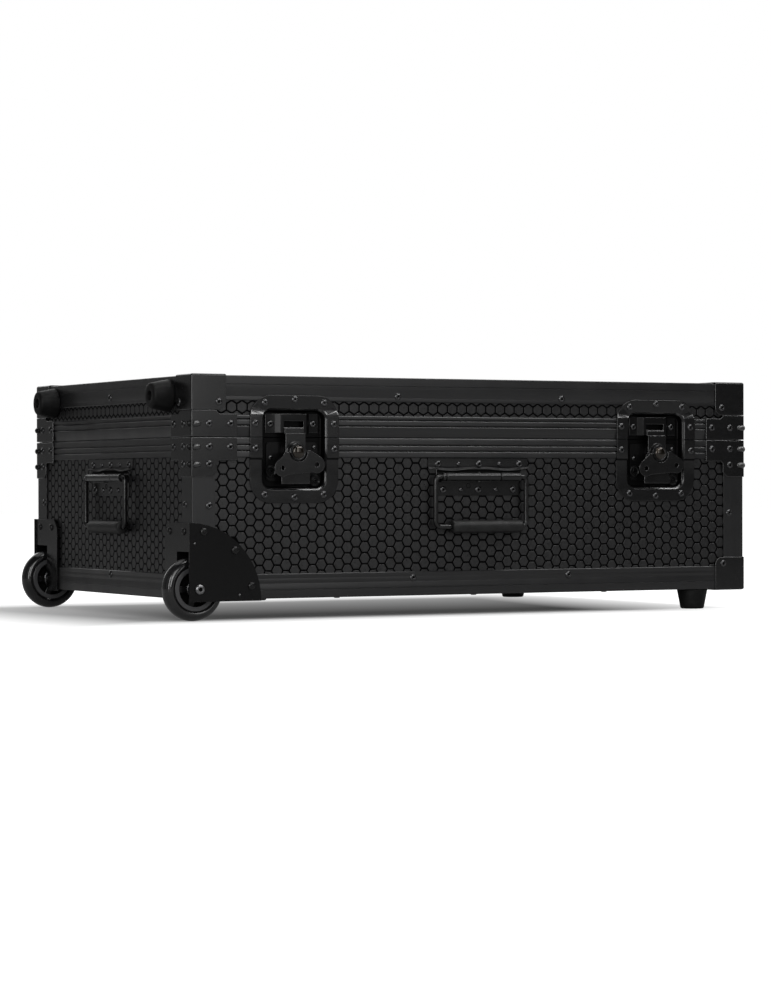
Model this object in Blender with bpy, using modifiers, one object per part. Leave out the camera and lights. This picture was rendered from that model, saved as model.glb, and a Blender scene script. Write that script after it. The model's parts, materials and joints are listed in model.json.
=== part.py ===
"""Flight case for lighting fixtures: a plywood road case with a hinged lid, two wheels at
its left end, butterfly twist latches, sprung handles and a foam insert.

Metres, +Z up, front towards -Y. The origin is on the floor, under the middle of the whole
case with its wheels and handles.
"""

import math

import bmesh
import bpy
from mathutils import Matrix, Vector

MM = 0.001
GAP = 0.3 * MM

# Case body
CASE_LENGTH = 780 * MM
CASE_DEPTH = 500 * MM
CASE_HEIGHT = 265 * MM
LID_HEIGHT = 73 * MM
SPLIT_HEIGHT = CASE_HEIGHT - LID_HEIGHT
SPLIT_GAP = 1.0 * MM
PANEL = 9 * MM

# Edge and rim extrusions
ANGLE_LEG = 29.5 * MM
WALL = 1.8 * MM
EDGE_ROUND = 1.2 * MM
GROOVE_FROM_EDGE = 10.3 * MM
GROOVE_DEPTH = 0.4 * MM
BASE_RIM_HEIGHT = 23.5 * MM
LID_RIM_HEIGHT = 25.8 * MM
RIM_INNER_WALL = 1.5 * MM
RIM_INNER_HEIGHT = 13.5 * MM
RIDGE_DEPTH = 0.5 * MM
RIDGE_HALF = 0.8 * MM
BASE_WEB = 3.2 * MM
LID_WEB = 6.8 * MM
LID_SLOPE = 1.3 * MM
TONGUE_FROM_FACE = 5.5 * MM
TONGUE_WIDTH = 3.0 * MM
TONGUE_HEIGHT = 3.5 * MM
TONGUE_CLEARANCE = 1.0 * MM

# Stamped corner hardware
SHEET = 1.3 * MM
POST_LEG = 30 * MM
BRACKET_LEG = 58 * MM
BRACKET_HEIGHT = 27 * MM
BRACKET_NECK = 32 * MM
BRACKET_DROP = 20 * MM
BRACKET_CHAMFER = 6 * MM
CAP_LEG = 43.7 * MM
CAP_HEIGHT = 41 * MM
CAP_NOTCH = 9 * MM

# Wheels and their housings
WHEEL_RADIUS = 38 * MM
WHEEL_INSET = 8.5 * MM
TYRE_WIDTH = 24 * MM
TYRE_SEAT_RADIUS = 27.2 * MM
HUB_WIDTH = 20 * MM
HUB_RIM = 5.5 * MM
HUB_BOSS_RADIUS = 11.5 * MM
HUB_WINDOWS = 5
WHEEL_SIDE_GAP = 7.5 * MM
WHEEL_CLEARANCE = 6 * MM
AXLE_RADIUS = 4 * MM
SPACER_RADIUS = 6.5 * MM
BOLT_HEAD_RADIUS = 7 * MM
BOLT_HEAD_HEIGHT = 3 * MM
HOUSING_SHEET = 2.2 * MM
KICK_RADIUS = 93 * MM
KICK_OVERHANG = 4.5 * MM
KICK_DROP = 2 * MM
POCKET_STRAP = 16 * MM
END_PLATE_REACH = 74 * MM
END_PLATE_TOP = 91 * MM

# Rubber feet
FOOT_HEIGHT = 25 * MM
FOOT_BASE_RADIUS = 19.5 * MM
FOOT_TIP_RADIUS = 14.8 * MM
FOOT_EDGE = 1.5 * MM
FOOT_BORE_RADIUS = 6 * MM
FOOT_BORE_DEPTH = 9 * MM
BASE_FOOT_FROM_END = 65.5 * MM
BASE_FOOT_FROM_FACE = 20.3 * MM
END_FOOT_FROM_FRONT = 67 * MM
END_FOOT_FROM_BACK = 63.4 * MM
END_FOOT_BELOW_TOP = 23 * MM

# Sprung handles
HANDLE_SHEET = 1.5 * MM
HANDLE_TOP_WIDTH = 141 * MM
HANDLE_TOP_HEIGHT = 11 * MM
HANDLE_LOWER_WIDTH = 118 * MM
HANDLE_PLATE_HEIGHT = 46 * MM
HANDLE_PIVOT_DROP = 23 * MM
HANDLE_STANDOFF = 7.2 * MM
BARREL_LENGTH = 110 * MM
BARREL_RADIUS = 5 * MM
BAIL_ROD_RADIUS = 3.1 * MM
BAIL_WIDTH = 128 * MM
BAIL_DROP = 61 * MM
BAIL_TOP_BEND = 8 * MM
BAIL_BOTTOM_BEND = 7 * MM
BAIL_STUB = 16 * MM
GRIP_RADIUS = 8 * MM
GRIP_LENGTH = 98 * MM
GRIP_SHIFT = 7 * MM
FRONT_HANDLE_SHIFT = -4 * MM

# Latches
LATCH_FROM_END = 134 * MM
DISH_WIDTH = 118 * MM
DISH_HEIGHT = 128.8 * MM
DISH_BELOW_SPLIT = 78.5 * MM
DISH_ROUND = 28 * MM
MOUTH_WIDTH = 80.7 * MM
MOUTH_HEIGHT = 92.3 * MM
MOUTH_BELOW_SPLIT = 60.3 * MM
MOUTH_ROUND = 10 * MM
DISH_SHEET = 1.3 * MM
DISH_DRAFT = 1.0 * MM
JOGGLE = 2.4 * MM
ROTOR_BELOW_SPLIT = 17.5 * MM
ROTOR_NECK_RADIUS = 10 * MM
ROTOR_DISC_RADIUS = 12.8 * MM
ROTOR_DISC_SHEET = 1.5 * MM
ROTOR_BODY_RADIUS = 10.8 * MM
ROTOR_BACK_RADIUS = 13 * MM
ROTOR_HEAD_RADIUS = 9.8 * MM
DOME_RADIUS = 7.3 * MM
DOME_HEIGHT = 2.2 * MM
ROTOR_PIN_RADIUS = 3 * MM
LATCH_TURN = math.radians(5)
STRAP_SHEET = 1.4 * MM
STRAP_TOP_WIDTH = 26.4 * MM
STRAP_BOTTOM_WIDTH = 37.8 * MM
STRAP_ABOVE = 28.5 * MM
STRAP_BELOW = 38.2 * MM
STRAP_HOOK_HEIGHT = 6 * MM
STRAP_SHOULDER_DROP = 8 * MM
STRAP_TRAVEL = 10 * MM
STRAP_WINDOW_RADIUS = 10.6 * MM
KEEPER_SHEET = 1.5 * MM
KEEPER_WIDTH = 34 * MM
KEEPER_SPLAY = 5.7 * MM
KEEPER_LOW = 5.5 * MM
KEEPER_HEIGHT = 22.8 * MM
KEEPER_TAB = 12.3 * MM
KEEPER_WINDOW_WIDTH = 26 * MM
KEEPER_WINDOW_HEIGHT = 7.5 * MM
KEEPER_WINDOW_LOW = 6.5 * MM
WING_SHEET = 1.6 * MM
WING_LOBE_SPREAD = 22.9 * MM
WING_LOBE_DROP = 17.1 * MM
WING_LOBE_RADIUS = 10.5 * MM
WING_NOTCH_RADIUS = 11.9 * MM
WING_HOLE_RADIUS = 2.9 * MM
WING_PIN_RADIUS = 0.7 * MM
WING_PIN_CLEARANCE = 0.35 * MM

# Back hinge
HINGE_FROM_END = 80 * MM
HINGE_LENGTH = CASE_LENGTH - 2 * HINGE_FROM_END
HINGE_LEAF = 20 * MM
HINGE_SHEET = 1.5 * MM
KNUCKLE_RADIUS = 3.5 * MM
KNUCKLES = 11
HINGE_PIN_RADIUS = 1.7 * MM
HINGE_STANDOFF = GAP + KNUCKLE_RADIUS

# Foam insert with pockets for the fixtures
FOAM_TOP_BELOW_SPLIT = 18 * MM
FOAM_FLOOR = 25 * MM
FOAM_RIB = 18 * MM
FOAM_POCKETS_ALONG = 3
FOAM_POCKETS_ACROSS = 2
FOAM_POCKET_ROUND = 14 * MM

# Planes of the case in the world
LEFT_REACH = WHEEL_RADIUS - WHEEL_INSET
HANDLE_REACH = HANDLE_STANDOFF + GRIP_RADIUS
BACK_REACH = HINGE_STANDOFF + KNUCKLE_RADIUS
LEFT = (LEFT_REACH - HANDLE_REACH - CASE_LENGTH) / 2
RIGHT = LEFT + CASE_LENGTH
FRONT = (HANDLE_REACH - BACK_REACH - CASE_DEPTH) / 2
BACK = FRONT + CASE_DEPTH
MID_X = (LEFT + RIGHT) / 2
MID_Y = (FRONT + BACK) / 2
BOTTOM = FOOT_HEIGHT + GAP
TOP = BOTTOM + CASE_HEIGHT
SPLIT = BOTTOM + SPLIT_HEIGHT

# Depths below the outer faces, shared by panels, rims and latches
PANEL_FACE = WALL + GAP
PANEL_BACK = PANEL_FACE + PANEL
INSIDE = PANEL_BACK + GAP
RIM_BACK = INSIDE + RIM_INNER_WALL

# Heights along the split
BASE_RIM_TOP = SPLIT - SPLIT_GAP / 2
BASE_RIM_LOW = BASE_RIM_TOP - BASE_RIM_HEIGHT
LID_RIM_LOW = SPLIT + SPLIT_GAP / 2
LID_RIM_TOP = LID_RIM_LOW + LID_RIM_HEIGHT

# Wheel pockets, measured inwards from the case's left and front or back planes
POCKET_LENGTH = WHEEL_INSET + WHEEL_RADIUS + WHEEL_CLEARANCE
POCKET_WIDTH = TYRE_WIDTH + 2 * WHEEL_SIDE_GAP
POCKET_TOP = 2 * WHEEL_RADIUS + WHEEL_CLEARANCE
HOUSING_LENGTH = POCKET_LENGTH + HOUSING_SHEET
HOUSING_WIDTH = POCKET_WIDTH + HOUSING_SHEET
HOUSING_TOP = POCKET_TOP + HOUSING_SHEET

# Depths of the latch parts behind the case's front plane
FLANGE_RAISED = -(DISH_SHEET + GAP)
FLANGE_LOW = PANEL_FACE - GAP - DISH_SHEET
DISH_FLOOR = PANEL_BACK - DISH_SHEET
STRAP_FACE = -3.0 * MM
STRAP_REAR = STRAP_FACE + STRAP_SHEET
HOOK_FACE = 0.5 * MM
HOOK_REAR = HOOK_FACE + STRAP_SHEET
KEEPER_FACE = HOOK_REAR + GAP
DISC_REAR = STRAP_FACE - GAP
DISC_FACE = DISC_REAR - ROTOR_DISC_SHEET
WING_MID = -10.6 * MM
WING_FACE = WING_MID - WING_SHEET / 2
DOME_TOP = WING_FACE - DOME_HEIGHT

ANODISED = ((0.020, 0.020, 0.022), 0.38, 0.85)
LAMINATE = ((0.016, 0.016, 0.018), 0.45, 0.0)
BLACK_STEEL = ((0.022, 0.022, 0.024), 0.30, 0.9)
KICK_STEEL = ((0.010, 0.010, 0.012), 0.42, 0.6)
BARE_STEEL = ((0.35, 0.35, 0.36), 0.25, 1.0)
BRASS = ((0.55, 0.42, 0.24), 0.30, 1.0)
RUBBER = ((0.018, 0.018, 0.018), 0.70, 0.0)
TYRE = ((0.012, 0.012, 0.013), 0.18, 0.0)
HUB_PLASTIC = ((0.050, 0.050, 0.055), 0.45, 0.0)
FOAM = ((0.030, 0.030, 0.032), 0.95, 0.0)

VIEW_AXES = {
    "front": Matrix(((1, 0, 0, 0), (0, 0, -1, 0), (0, 1, 0, 0), (0, 0, 0, 1))),
    "side": Matrix(((0, 0, 1, 0), (1, 0, 0, 0), (0, 1, 0, 0), (0, 0, 0, 1))),
    "plan": Matrix.Identity(4),
}
VIEW_NORMAL = {"front": Vector((0, 1, 0)), "side": Vector((1, 0, 0)), "plan": Vector((0, 0, 1))}


# Scene and objects


def clear_scene():
    for obj in list(bpy.data.objects):
        bpy.data.objects.remove(obj, do_unlink=True)


def new_collection(name):
    collection = bpy.data.collections.new(name)
    bpy.context.scene.collection.children.link(collection)
    return collection


def new_material(name, finish):
    colour, roughness, metallic = finish
    material = bpy.data.materials.new(name)
    material.use_nodes = True
    shader = material.node_tree.nodes["Principled BSDF"]
    shader.inputs["Base Color"].default_value = (*colour, 1)
    shader.inputs["Roughness"].default_value = roughness
    shader.inputs["Metallic"].default_value = metallic
    return material


def new_object(name, bm, collection, origin=(0, 0, 0)):
    """An object from a bmesh in world coordinates, with its origin where it is asked for."""
    bmesh.ops.translate(bm, verts=bm.verts, vec=-Vector(origin))
    mesh = bpy.data.meshes.new(name)
    bm.to_mesh(mesh)
    bm.free()
    mesh.shade_smooth()
    mesh.set_sharp_from_angle(angle=math.radians(35))
    obj = bpy.data.objects.new(name, mesh)
    obj.location = origin
    collection.objects.link(obj)
    return obj


def add_part(name, bm, finish, origin=(0, 0, 0)):
    obj = new_object(name, bm, PARTS, origin)
    obj.data.materials.append(new_material(name, finish))
    return obj


def combine(part, operation, *shapes):
    """Boolean modifiers that cut shapes from a part or fuse them to it."""
    for shape in shapes:
        label = f"{part.name}_{operation.lower()}_{len(part.modifiers)}"
        tool = new_object(label, shape, CUTTERS)
        tool.hide_render = True
        tool.display_type = "WIRE"
        modifier = part.modifiers.new(label, "BOOLEAN")
        modifier.operation = operation
        modifier.solver = "EXACT"
        modifier.object = tool


def add_turned(name, profile, finish, origin, axis, steps):
    """A part turned about an axis through its origin: profile points are (radius, along),
    running from the far end of the axis down the outer side."""
    mesh = bpy.data.meshes.new(name)
    bm = bmesh.new()
    points = [bm.verts.new((radius, 0, along)) for radius, along in profile]
    closed = profile[0][0] > 0
    for start, end in zip(points, points[1:] + points[:1] if closed else points[1:]):
        bm.edges.new((start, end))
    bm.to_mesh(mesh)
    bm.free()
    obj = bpy.data.objects.new(name, mesh)
    obj.location = origin
    obj.rotation_euler = Vector(axis).to_track_quat("Z", "Y").to_euler()
    PARTS.objects.link(obj)
    screw = obj.modifiers.new("turn", "SCREW")
    screw.steps = steps
    screw.render_steps = steps
    screw.use_merge_vertices = True
    screw.merge_threshold = 0.00001
    mesh.materials.append(new_material(name, finish))
    return obj


# Shapes


def box(low, high):
    size = Vector(high) - Vector(low)
    centre = (Vector(high) + Vector(low)) / 2
    bm = bmesh.new()
    bmesh.ops.create_cube(bm, matrix=Matrix.Translation(centre) @ Matrix.Diagonal((*size, 1)))
    return bm


def rod(start, end, radius, segments=16):
    """A solid cylinder between two points."""
    run = Vector(end) - Vector(start)
    turn = run.to_track_quat("Z", "Y").to_matrix().to_4x4()
    place = Matrix.Translation((Vector(start) + Vector(end)) / 2) @ turn
    bm = bmesh.new()
    bmesh.ops.create_cone(
        bm, cap_ends=True, segments=segments, radius1=radius, radius2=radius,
        depth=run.length, matrix=place,
    )
    return bm


def meshed(curve):
    """The welded mesh of a curve, as a bmesh."""
    guide = bpy.data.objects.new("guide", curve)
    PARTS.objects.link(guide)
    evaluated = guide.evaluated_get(bpy.context.evaluated_depsgraph_get())
    mesh = bpy.data.meshes.new_from_object(evaluated)
    bm = bmesh.new()
    bm.from_mesh(mesh)
    bmesh.ops.remove_doubles(bm, verts=bm.verts, dist=0.000005)
    bpy.data.objects.remove(guide)
    bpy.data.curves.remove(curve)
    bpy.data.meshes.remove(mesh)
    return bm


def slab(view, low, high, outline, *holes):
    """A flat outline with holes, solid between two planes square to the view."""
    curve = bpy.data.curves.new("outline", "CURVE")
    curve.dimensions = "2D"
    curve.fill_mode = "BOTH"
    curve.extrude = (high - low) / 2
    for loop in (outline, *holes):
        spline = curve.splines.new("POLY")
        spline.points.add(len(loop) - 1)
        for point, (u, v) in zip(spline.points, loop):
            point.co = (u, v, 0, 1)
        spline.use_cyclic_u = True
    bm = meshed(curve)
    bm.transform(Matrix.Translation(VIEW_NORMAL[view] * (low + high) / 2) @ VIEW_AXES[view])
    return bm


def bent_rod(path, radius):
    """A round rod along a list of points, with closed ends."""
    curve = bpy.data.curves.new("rod", "CURVE")
    curve.dimensions = "3D"
    curve.bevel_depth = radius
    curve.bevel_resolution = 2
    curve.use_fill_caps = True
    spline = curve.splines.new("POLY")
    spline.points.add(len(path) - 1)
    for point, place in zip(spline.points, path):
        point.co = (*place, 1)
    return meshed(curve)


def arc(centre_u, centre_v, radius, start, end, steps):
    """Points on an arc, with its ends, for angles in degrees."""
    angles = [math.radians(start + (end - start) * i / steps) for i in range(steps + 1)]
    return [(centre_u + radius * math.cos(a), centre_v + radius * math.sin(a)) for a in angles]


def circle(centre_u, centre_v, radius, steps=16):
    return arc(centre_u, centre_v, radius, 0, 360, steps)[:-1]


def rounded_rectangle(low_u, low_v, high_u, high_v, radius, steps=4):
    return (
        arc(high_u - radius, low_v + radius, radius, -90, 0, steps)
        + arc(high_u - radius, high_v - radius, radius, 0, 90, steps)
        + arc(low_u + radius, high_v - radius, radius, 90, 180, steps)
        + arc(low_u + radius, low_v + radius, radius, 180, 270, steps)
    )


def ring(profile):
    """Sweeps a closed profile of (depth below the outer faces, height) round the case, with
    mitred corners: a square ring is spun, then stretched to the case's length and depth."""
    half = CASE_DEPTH / 2
    bm = bmesh.new()
    section = [bm.verts.new((half - depth, half - depth, height)) for depth, height in profile]
    edges = [bm.edges.new(pair) for pair in zip(section, section[1:] + section[:1])]
    bmesh.ops.spin(
        bm, geom=section + edges, cent=(0, 0, 0), axis=(0, 0, 1), angle=math.tau, steps=4
    )
    bmesh.ops.remove_doubles(bm, verts=bm.verts, dist=0.000005)
    for vertex in bm.verts:
        vertex.co.x += math.copysign((CASE_LENGTH - CASE_DEPTH) / 2, vertex.co.x)
    bmesh.ops.translate(bm, verts=bm.verts, vec=(MID_X, MID_Y, 0))
    bmesh.ops.recalc_face_normals(bm, faces=bm.faces)
    return bm


def span(face, side, near, far):
    """Low and high Y of two depths measured inwards from the front (-1) or back (+1)."""
    return sorted((face - side * near, face - side * far))


# Panels, extrusions and corner hardware


def rectangle_profile(low, high):
    return [(PANEL_FACE, low), (PANEL_BACK, low), (PANEL_BACK, high), (PANEL_FACE, high)]


def angle_profile(outer_height, inward):
    """Single angle with a rounded corner and a groove, from its outer corner inwards."""
    groove = GROOVE_FROM_EDGE
    points = [
        (EDGE_ROUND, 0), (ANGLE_LEG, 0), (ANGLE_LEG, WALL), (WALL, WALL), (WALL, ANGLE_LEG),
        (0, ANGLE_LEG), (0, groove + GROOVE_DEPTH), (GROOVE_DEPTH, groove),
        (0, groove - GROOVE_DEPTH), (0, EDGE_ROUND),
        (EDGE_ROUND * (1 - math.sqrt(0.5)), EDGE_ROUND * (1 - math.sqrt(0.5))),
    ]
    return [(depth, outer_height + inward * height) for depth, height in points]


def ridge(height):
    """A ridge that stands out to the case's outer plane, listed from its top down."""
    return [
        (RIDGE_DEPTH, height + RIDGE_HALF), (0, height + RIDGE_HALF / 2),
        (0, height - RIDGE_HALF / 2), (RIDGE_DEPTH, height - RIDGE_HALF),
    ]


def base_rim_profile():
    """Channel over the base panels' edge, with the tongue that locates the lid."""
    tongue_out = TONGUE_FROM_FACE - TONGUE_WIDTH / 2
    tongue_in = TONGUE_FROM_FACE + TONGUE_WIDTH / 2
    top = BASE_RIM_TOP
    return [
        (RIDGE_DEPTH, BASE_RIM_LOW), (WALL, BASE_RIM_LOW), (WALL, top - BASE_WEB),
        (INSIDE, top - BASE_WEB), (INSIDE, top - RIM_INNER_HEIGHT),
        (RIM_BACK, top - RIM_INNER_HEIGHT), (RIM_BACK, top),
        (tongue_in, top), (tongue_in - TONGUE_WIDTH / 5, top + TONGUE_HEIGHT),
        (tongue_out + TONGUE_WIDTH / 5, top + TONGUE_HEIGHT), (tongue_out, top),
        (RIDGE_DEPTH * 2, top), (RIDGE_DEPTH, top - RIDGE_DEPTH),
        *ridge(top - 0.43 * BASE_RIM_HEIGHT), *ridge(top - 0.75 * BASE_RIM_HEIGHT),
    ]


def lid_rim_profile():
    """Channel over the lid panels' edge, with the groove for the base's tongue."""
    groove_out = TONGUE_FROM_FACE - TONGUE_WIDTH / 2 - TONGUE_CLEARANCE
    groove_in = TONGUE_FROM_FACE + TONGUE_WIDTH / 2 + TONGUE_CLEARANCE
    low = LID_RIM_LOW
    groove_top = BASE_RIM_TOP + TONGUE_HEIGHT + TONGUE_CLEARANCE
    upper_ridge = low + 0.81 * LID_RIM_HEIGHT
    lower_ridge = low + 0.48 * LID_RIM_HEIGHT
    return [
        (LID_SLOPE, low), (groove_out, low), (groove_out, groove_top), (groove_in, groove_top),
        (groove_in, low), (RIM_BACK, low), (RIM_BACK, low + RIM_INNER_HEIGHT),
        (INSIDE, low + RIM_INNER_HEIGHT), (INSIDE, low + LID_WEB), (WALL, low + LID_WEB),
        (WALL, LID_RIM_TOP), (RIDGE_DEPTH, LID_RIM_TOP), *ridge(upper_ridge),
        *ridge(lower_ridge)[:3], (RIDGE_DEPTH / 2, lower_ridge - RIDGE_HALF),
    ]


def wheel_pocket(side):
    """The corner that the wheel housing takes from the base, with a gap round it."""
    face = FRONT if side < 0 else BACK
    outer = face + side * HOUSING_WIDTH
    inner = face - side * (HOUSING_WIDTH + GAP)
    return box(
        (LEFT - HOUSING_LENGTH, min(outer, inner), BOTTOM - HOUSING_TOP),
        (LEFT + HOUSING_LENGTH + GAP, max(outer, inner), HOUSING_TOP + GAP),
    )


def pocket_strap(side):
    """Flat plate that carries the bottom frame round the inside of a wheel pocket."""
    skin = WALL / 8
    near, far = span(FRONT if side < 0 else BACK, side, 2 * WALL, HOUSING_WIDTH + POCKET_STRAP)
    return box(
        (LEFT + 2 * WALL, near, BOTTOM + skin),
        (LEFT + HOUSING_LENGTH + POCKET_STRAP, far, BOTTOM + WALL - skin),
    )


def latch_hole(centre_x):
    """The opening through the panels and rims behind a latch dish."""
    half = MOUTH_WIDTH / 2 + DISH_SHEET + GAP
    low = SPLIT - MOUTH_BELOW_SPLIT - DISH_SHEET - GAP
    high = SPLIT - MOUTH_BELOW_SPLIT + MOUTH_HEIGHT + DISH_SHEET + GAP
    return box(
        (centre_x - half, FRONT - DISH_WIDTH, low),
        (centre_x + half, FRONT + PANEL_BACK + GAP / 2, high),
    )


def latch_centres():
    return {"left": LEFT + LATCH_FROM_END, "right": RIGHT - LATCH_FROM_END}


def latch_holes():
    return [latch_hole(x) for x in latch_centres().values()]


def wheel_pockets():
    return [wheel_pocket(-1), wheel_pocket(1)]


def build_base_box():
    low = BOTTOM + WALL + GAP
    walls = ring(rectangle_profile(low, BASE_RIM_TOP - BASE_WEB - GAP))
    walls = add_part("base_walls", walls, LAMINATE)
    combine(walls, "DIFFERENCE", *wheel_pockets(), *latch_holes())
    floor = box(
        (LEFT + INSIDE, FRONT + INSIDE, low), (RIGHT - INSIDE, BACK - INSIDE, low + PANEL)
    )
    floor = add_part("base_bottom_panel", floor, LAMINATE)
    combine(floor, "DIFFERENCE", *wheel_pockets())
    frame = add_part("bottom_edge_frame", ring(angle_profile(BOTTOM, 1)), ANODISED)
    combine(frame, "UNION", *[pocket_strap(side) for side in (-1, 1)])
    combine(frame, "DIFFERENCE", *wheel_pockets())
    rim = add_part("base_rim_frame", ring(base_rim_profile()), ANODISED)
    combine(rim, "DIFFERENCE", *latch_holes())


def build_lid_box():
    high = TOP - WALL - GAP
    walls = ring(rectangle_profile(LID_RIM_LOW + LID_WEB + GAP, high))
    walls = add_part("lid_walls", walls, LAMINATE)
    combine(walls, "DIFFERENCE", *latch_holes())
    panel = box(
        (LEFT + INSIDE, FRONT + INSIDE, high - PANEL), (RIGHT - INSIDE, BACK - INSIDE, high)
    )
    add_part("lid_top_panel", panel, LAMINATE)
    add_part("lid_edge_frame", ring(angle_profile(TOP, -1)), ANODISED)
    rim = add_part("lid_rim_frame", ring(lid_rim_profile()), ANODISED)
    combine(rim, "DIFFERENCE", *latch_holes())


class Corner:
    """One upright corner of the case: turns distances inwards from it into world places."""

    def __init__(self, front, left):
        self.x = LEFT if left else RIGHT
        self.y = FRONT if front else BACK
        self.along = 1 if left else -1
        self.across = 1 if front else -1
        self.name = ("front" if front else "back") + "_" + ("left" if left else "right")

    def plan(self, points):
        """Plan outline from points (inwards along X, inwards along Y)."""
        return [(self.x + self.along * a, self.y + self.across * b) for a, b in points]

    def face(self, view, points):
        """Outline on the front or side of the corner from points (inwards, height)."""
        if view == "front":
            return [(self.x + self.along * a, height) for a, height in points]
        return [(self.y + self.across * a, height) for a, height in points]

    def cutter(self, view, points):
        """A cutter through one leg of a corner piece, clear of its other leg."""
        middle = self.y if view == "front" else self.x
        reach = ANGLE_LEG
        return slab(view, middle - reach, middle + reach, self.face(view, points))


CORNERS = [Corner(front, left) for front in (True, False) for left in (True, False)]


def corner_angle(corner, low, high, leg, sheet, outside):
    """An upright angle round a corner. Its outer faces stand outside the case's planes."""
    bend = EDGE_ROUND
    inner = sheet - outside
    outline = [
        (leg, -outside), (leg, inner), (inner, inner), (inner, leg), (-outside, leg),
        *arc(bend - outside, bend - outside, bend, 180, 270, 3),
    ]
    return slab("plan", low, high, corner.plan(outline))


def build_corner_posts():
    for corner in CORNERS:
        low = HOUSING_TOP + GAP if corner.along > 0 else BOTTOM + ANGLE_LEG + GAP
        post = corner_angle(corner, low, BASE_RIM_LOW - GAP, POST_LEG, WALL, 0)
        add_part(f"corner_post_{corner.name}", post, ANODISED)


def build_split_brackets():
    """Riveted brackets over the rim corners, a lower one on the base and an upper one on
    the lid. Each has a neck that runs on along the upright corner."""
    outside = SHEET + GAP
    beyond = BRACKET_LEG + SHEET
    for corner in CORNERS:
        low = BASE_RIM_TOP - BRACKET_HEIGHT - BRACKET_DROP
        shoulder = BASE_RIM_TOP - BRACKET_HEIGHT
        lower = corner_angle(corner, low, BASE_RIM_TOP, BRACKET_LEG, SHEET, outside)
        lower = add_part(f"base_split_bracket_{corner.name}", lower, BLACK_STEEL)
        chamfer = BRACKET_CHAMFER
        notch = [
            (BRACKET_NECK - chamfer, low - SHEET), (BRACKET_NECK - chamfer, low),
            (BRACKET_NECK, low + chamfer), (BRACKET_NECK, shoulder - chamfer / 2),
            (BRACKET_NECK + chamfer / 2, shoulder), (beyond, shoulder), (beyond, low - SHEET),
        ]
        combine(lower, "DIFFERENCE", corner.cutter("front", notch), corner.cutter("side", notch))
        high = TOP - CAP_HEIGHT - GAP
        shoulder = LID_RIM_LOW + BRACKET_HEIGHT
        upper = corner_angle(corner, LID_RIM_LOW, high, BRACKET_LEG, SHEET, outside)
        upper = add_part(f"lid_split_bracket_{corner.name}", upper, BLACK_STEEL)
        notch = [
            (BRACKET_NECK, high + SHEET), (BRACKET_NECK, shoulder + chamfer / 2),
            (BRACKET_NECK + chamfer / 2, shoulder), (beyond, shoulder), (beyond, high + SHEET),
        ]
        combine(upper, "DIFFERENCE", corner.cutter("front", notch), corner.cutter("side", notch))


def add_corner_cap(name, corner, edge, inward):
    """A stamped cap over three faces: edge is the height of its flat face, and inward is
    the way that its upright legs run, +1 up from the bottom or -1 down from the top."""
    outside = SHEET + GAP
    near = edge - inward * outside
    far = edge + inward * CAP_HEIGHT
    cap = corner_angle(corner, min(near, far), max(near, far), CAP_LEG, SHEET, outside)
    cap = add_part(name, cap, BLACK_STEEL)
    flat = [
        (-GAP, -GAP), (CAP_LEG, -GAP),
        *arc(CAP_LEG - CAP_NOTCH, CAP_LEG - CAP_NOTCH, CAP_NOTCH, 0, 90, 4), (-GAP, CAP_LEG),
    ]
    inner = near + inward * SHEET
    combine(cap, "UNION", slab("plan", min(near, inner), max(near, inner), corner.plan(flat)))
    beyond = CAP_LEG + SHEET
    turn = arc(CAP_LEG - CAP_NOTCH, 0, CAP_NOTCH, 0, 90, 4)
    notch = [(u, far - inward * (CAP_NOTCH - v)) for u, v in turn]
    notch += [(CAP_LEG - CAP_NOTCH, far + inward * SHEET), (beyond, far + inward * SHEET)]
    notch += [(beyond, far - inward * CAP_NOTCH)]
    combine(cap, "DIFFERENCE", corner.cutter("front", notch), corner.cutter("side", notch))


def build_corner_caps():
    for corner in CORNERS:
        add_corner_cap(f"lid_corner_cap_{corner.name}", corner, TOP, -1)
        if corner.along < 0:
            add_corner_cap(f"base_corner_cap_{corner.name}", corner, BOTTOM, 1)


# Wheels and feet


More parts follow.
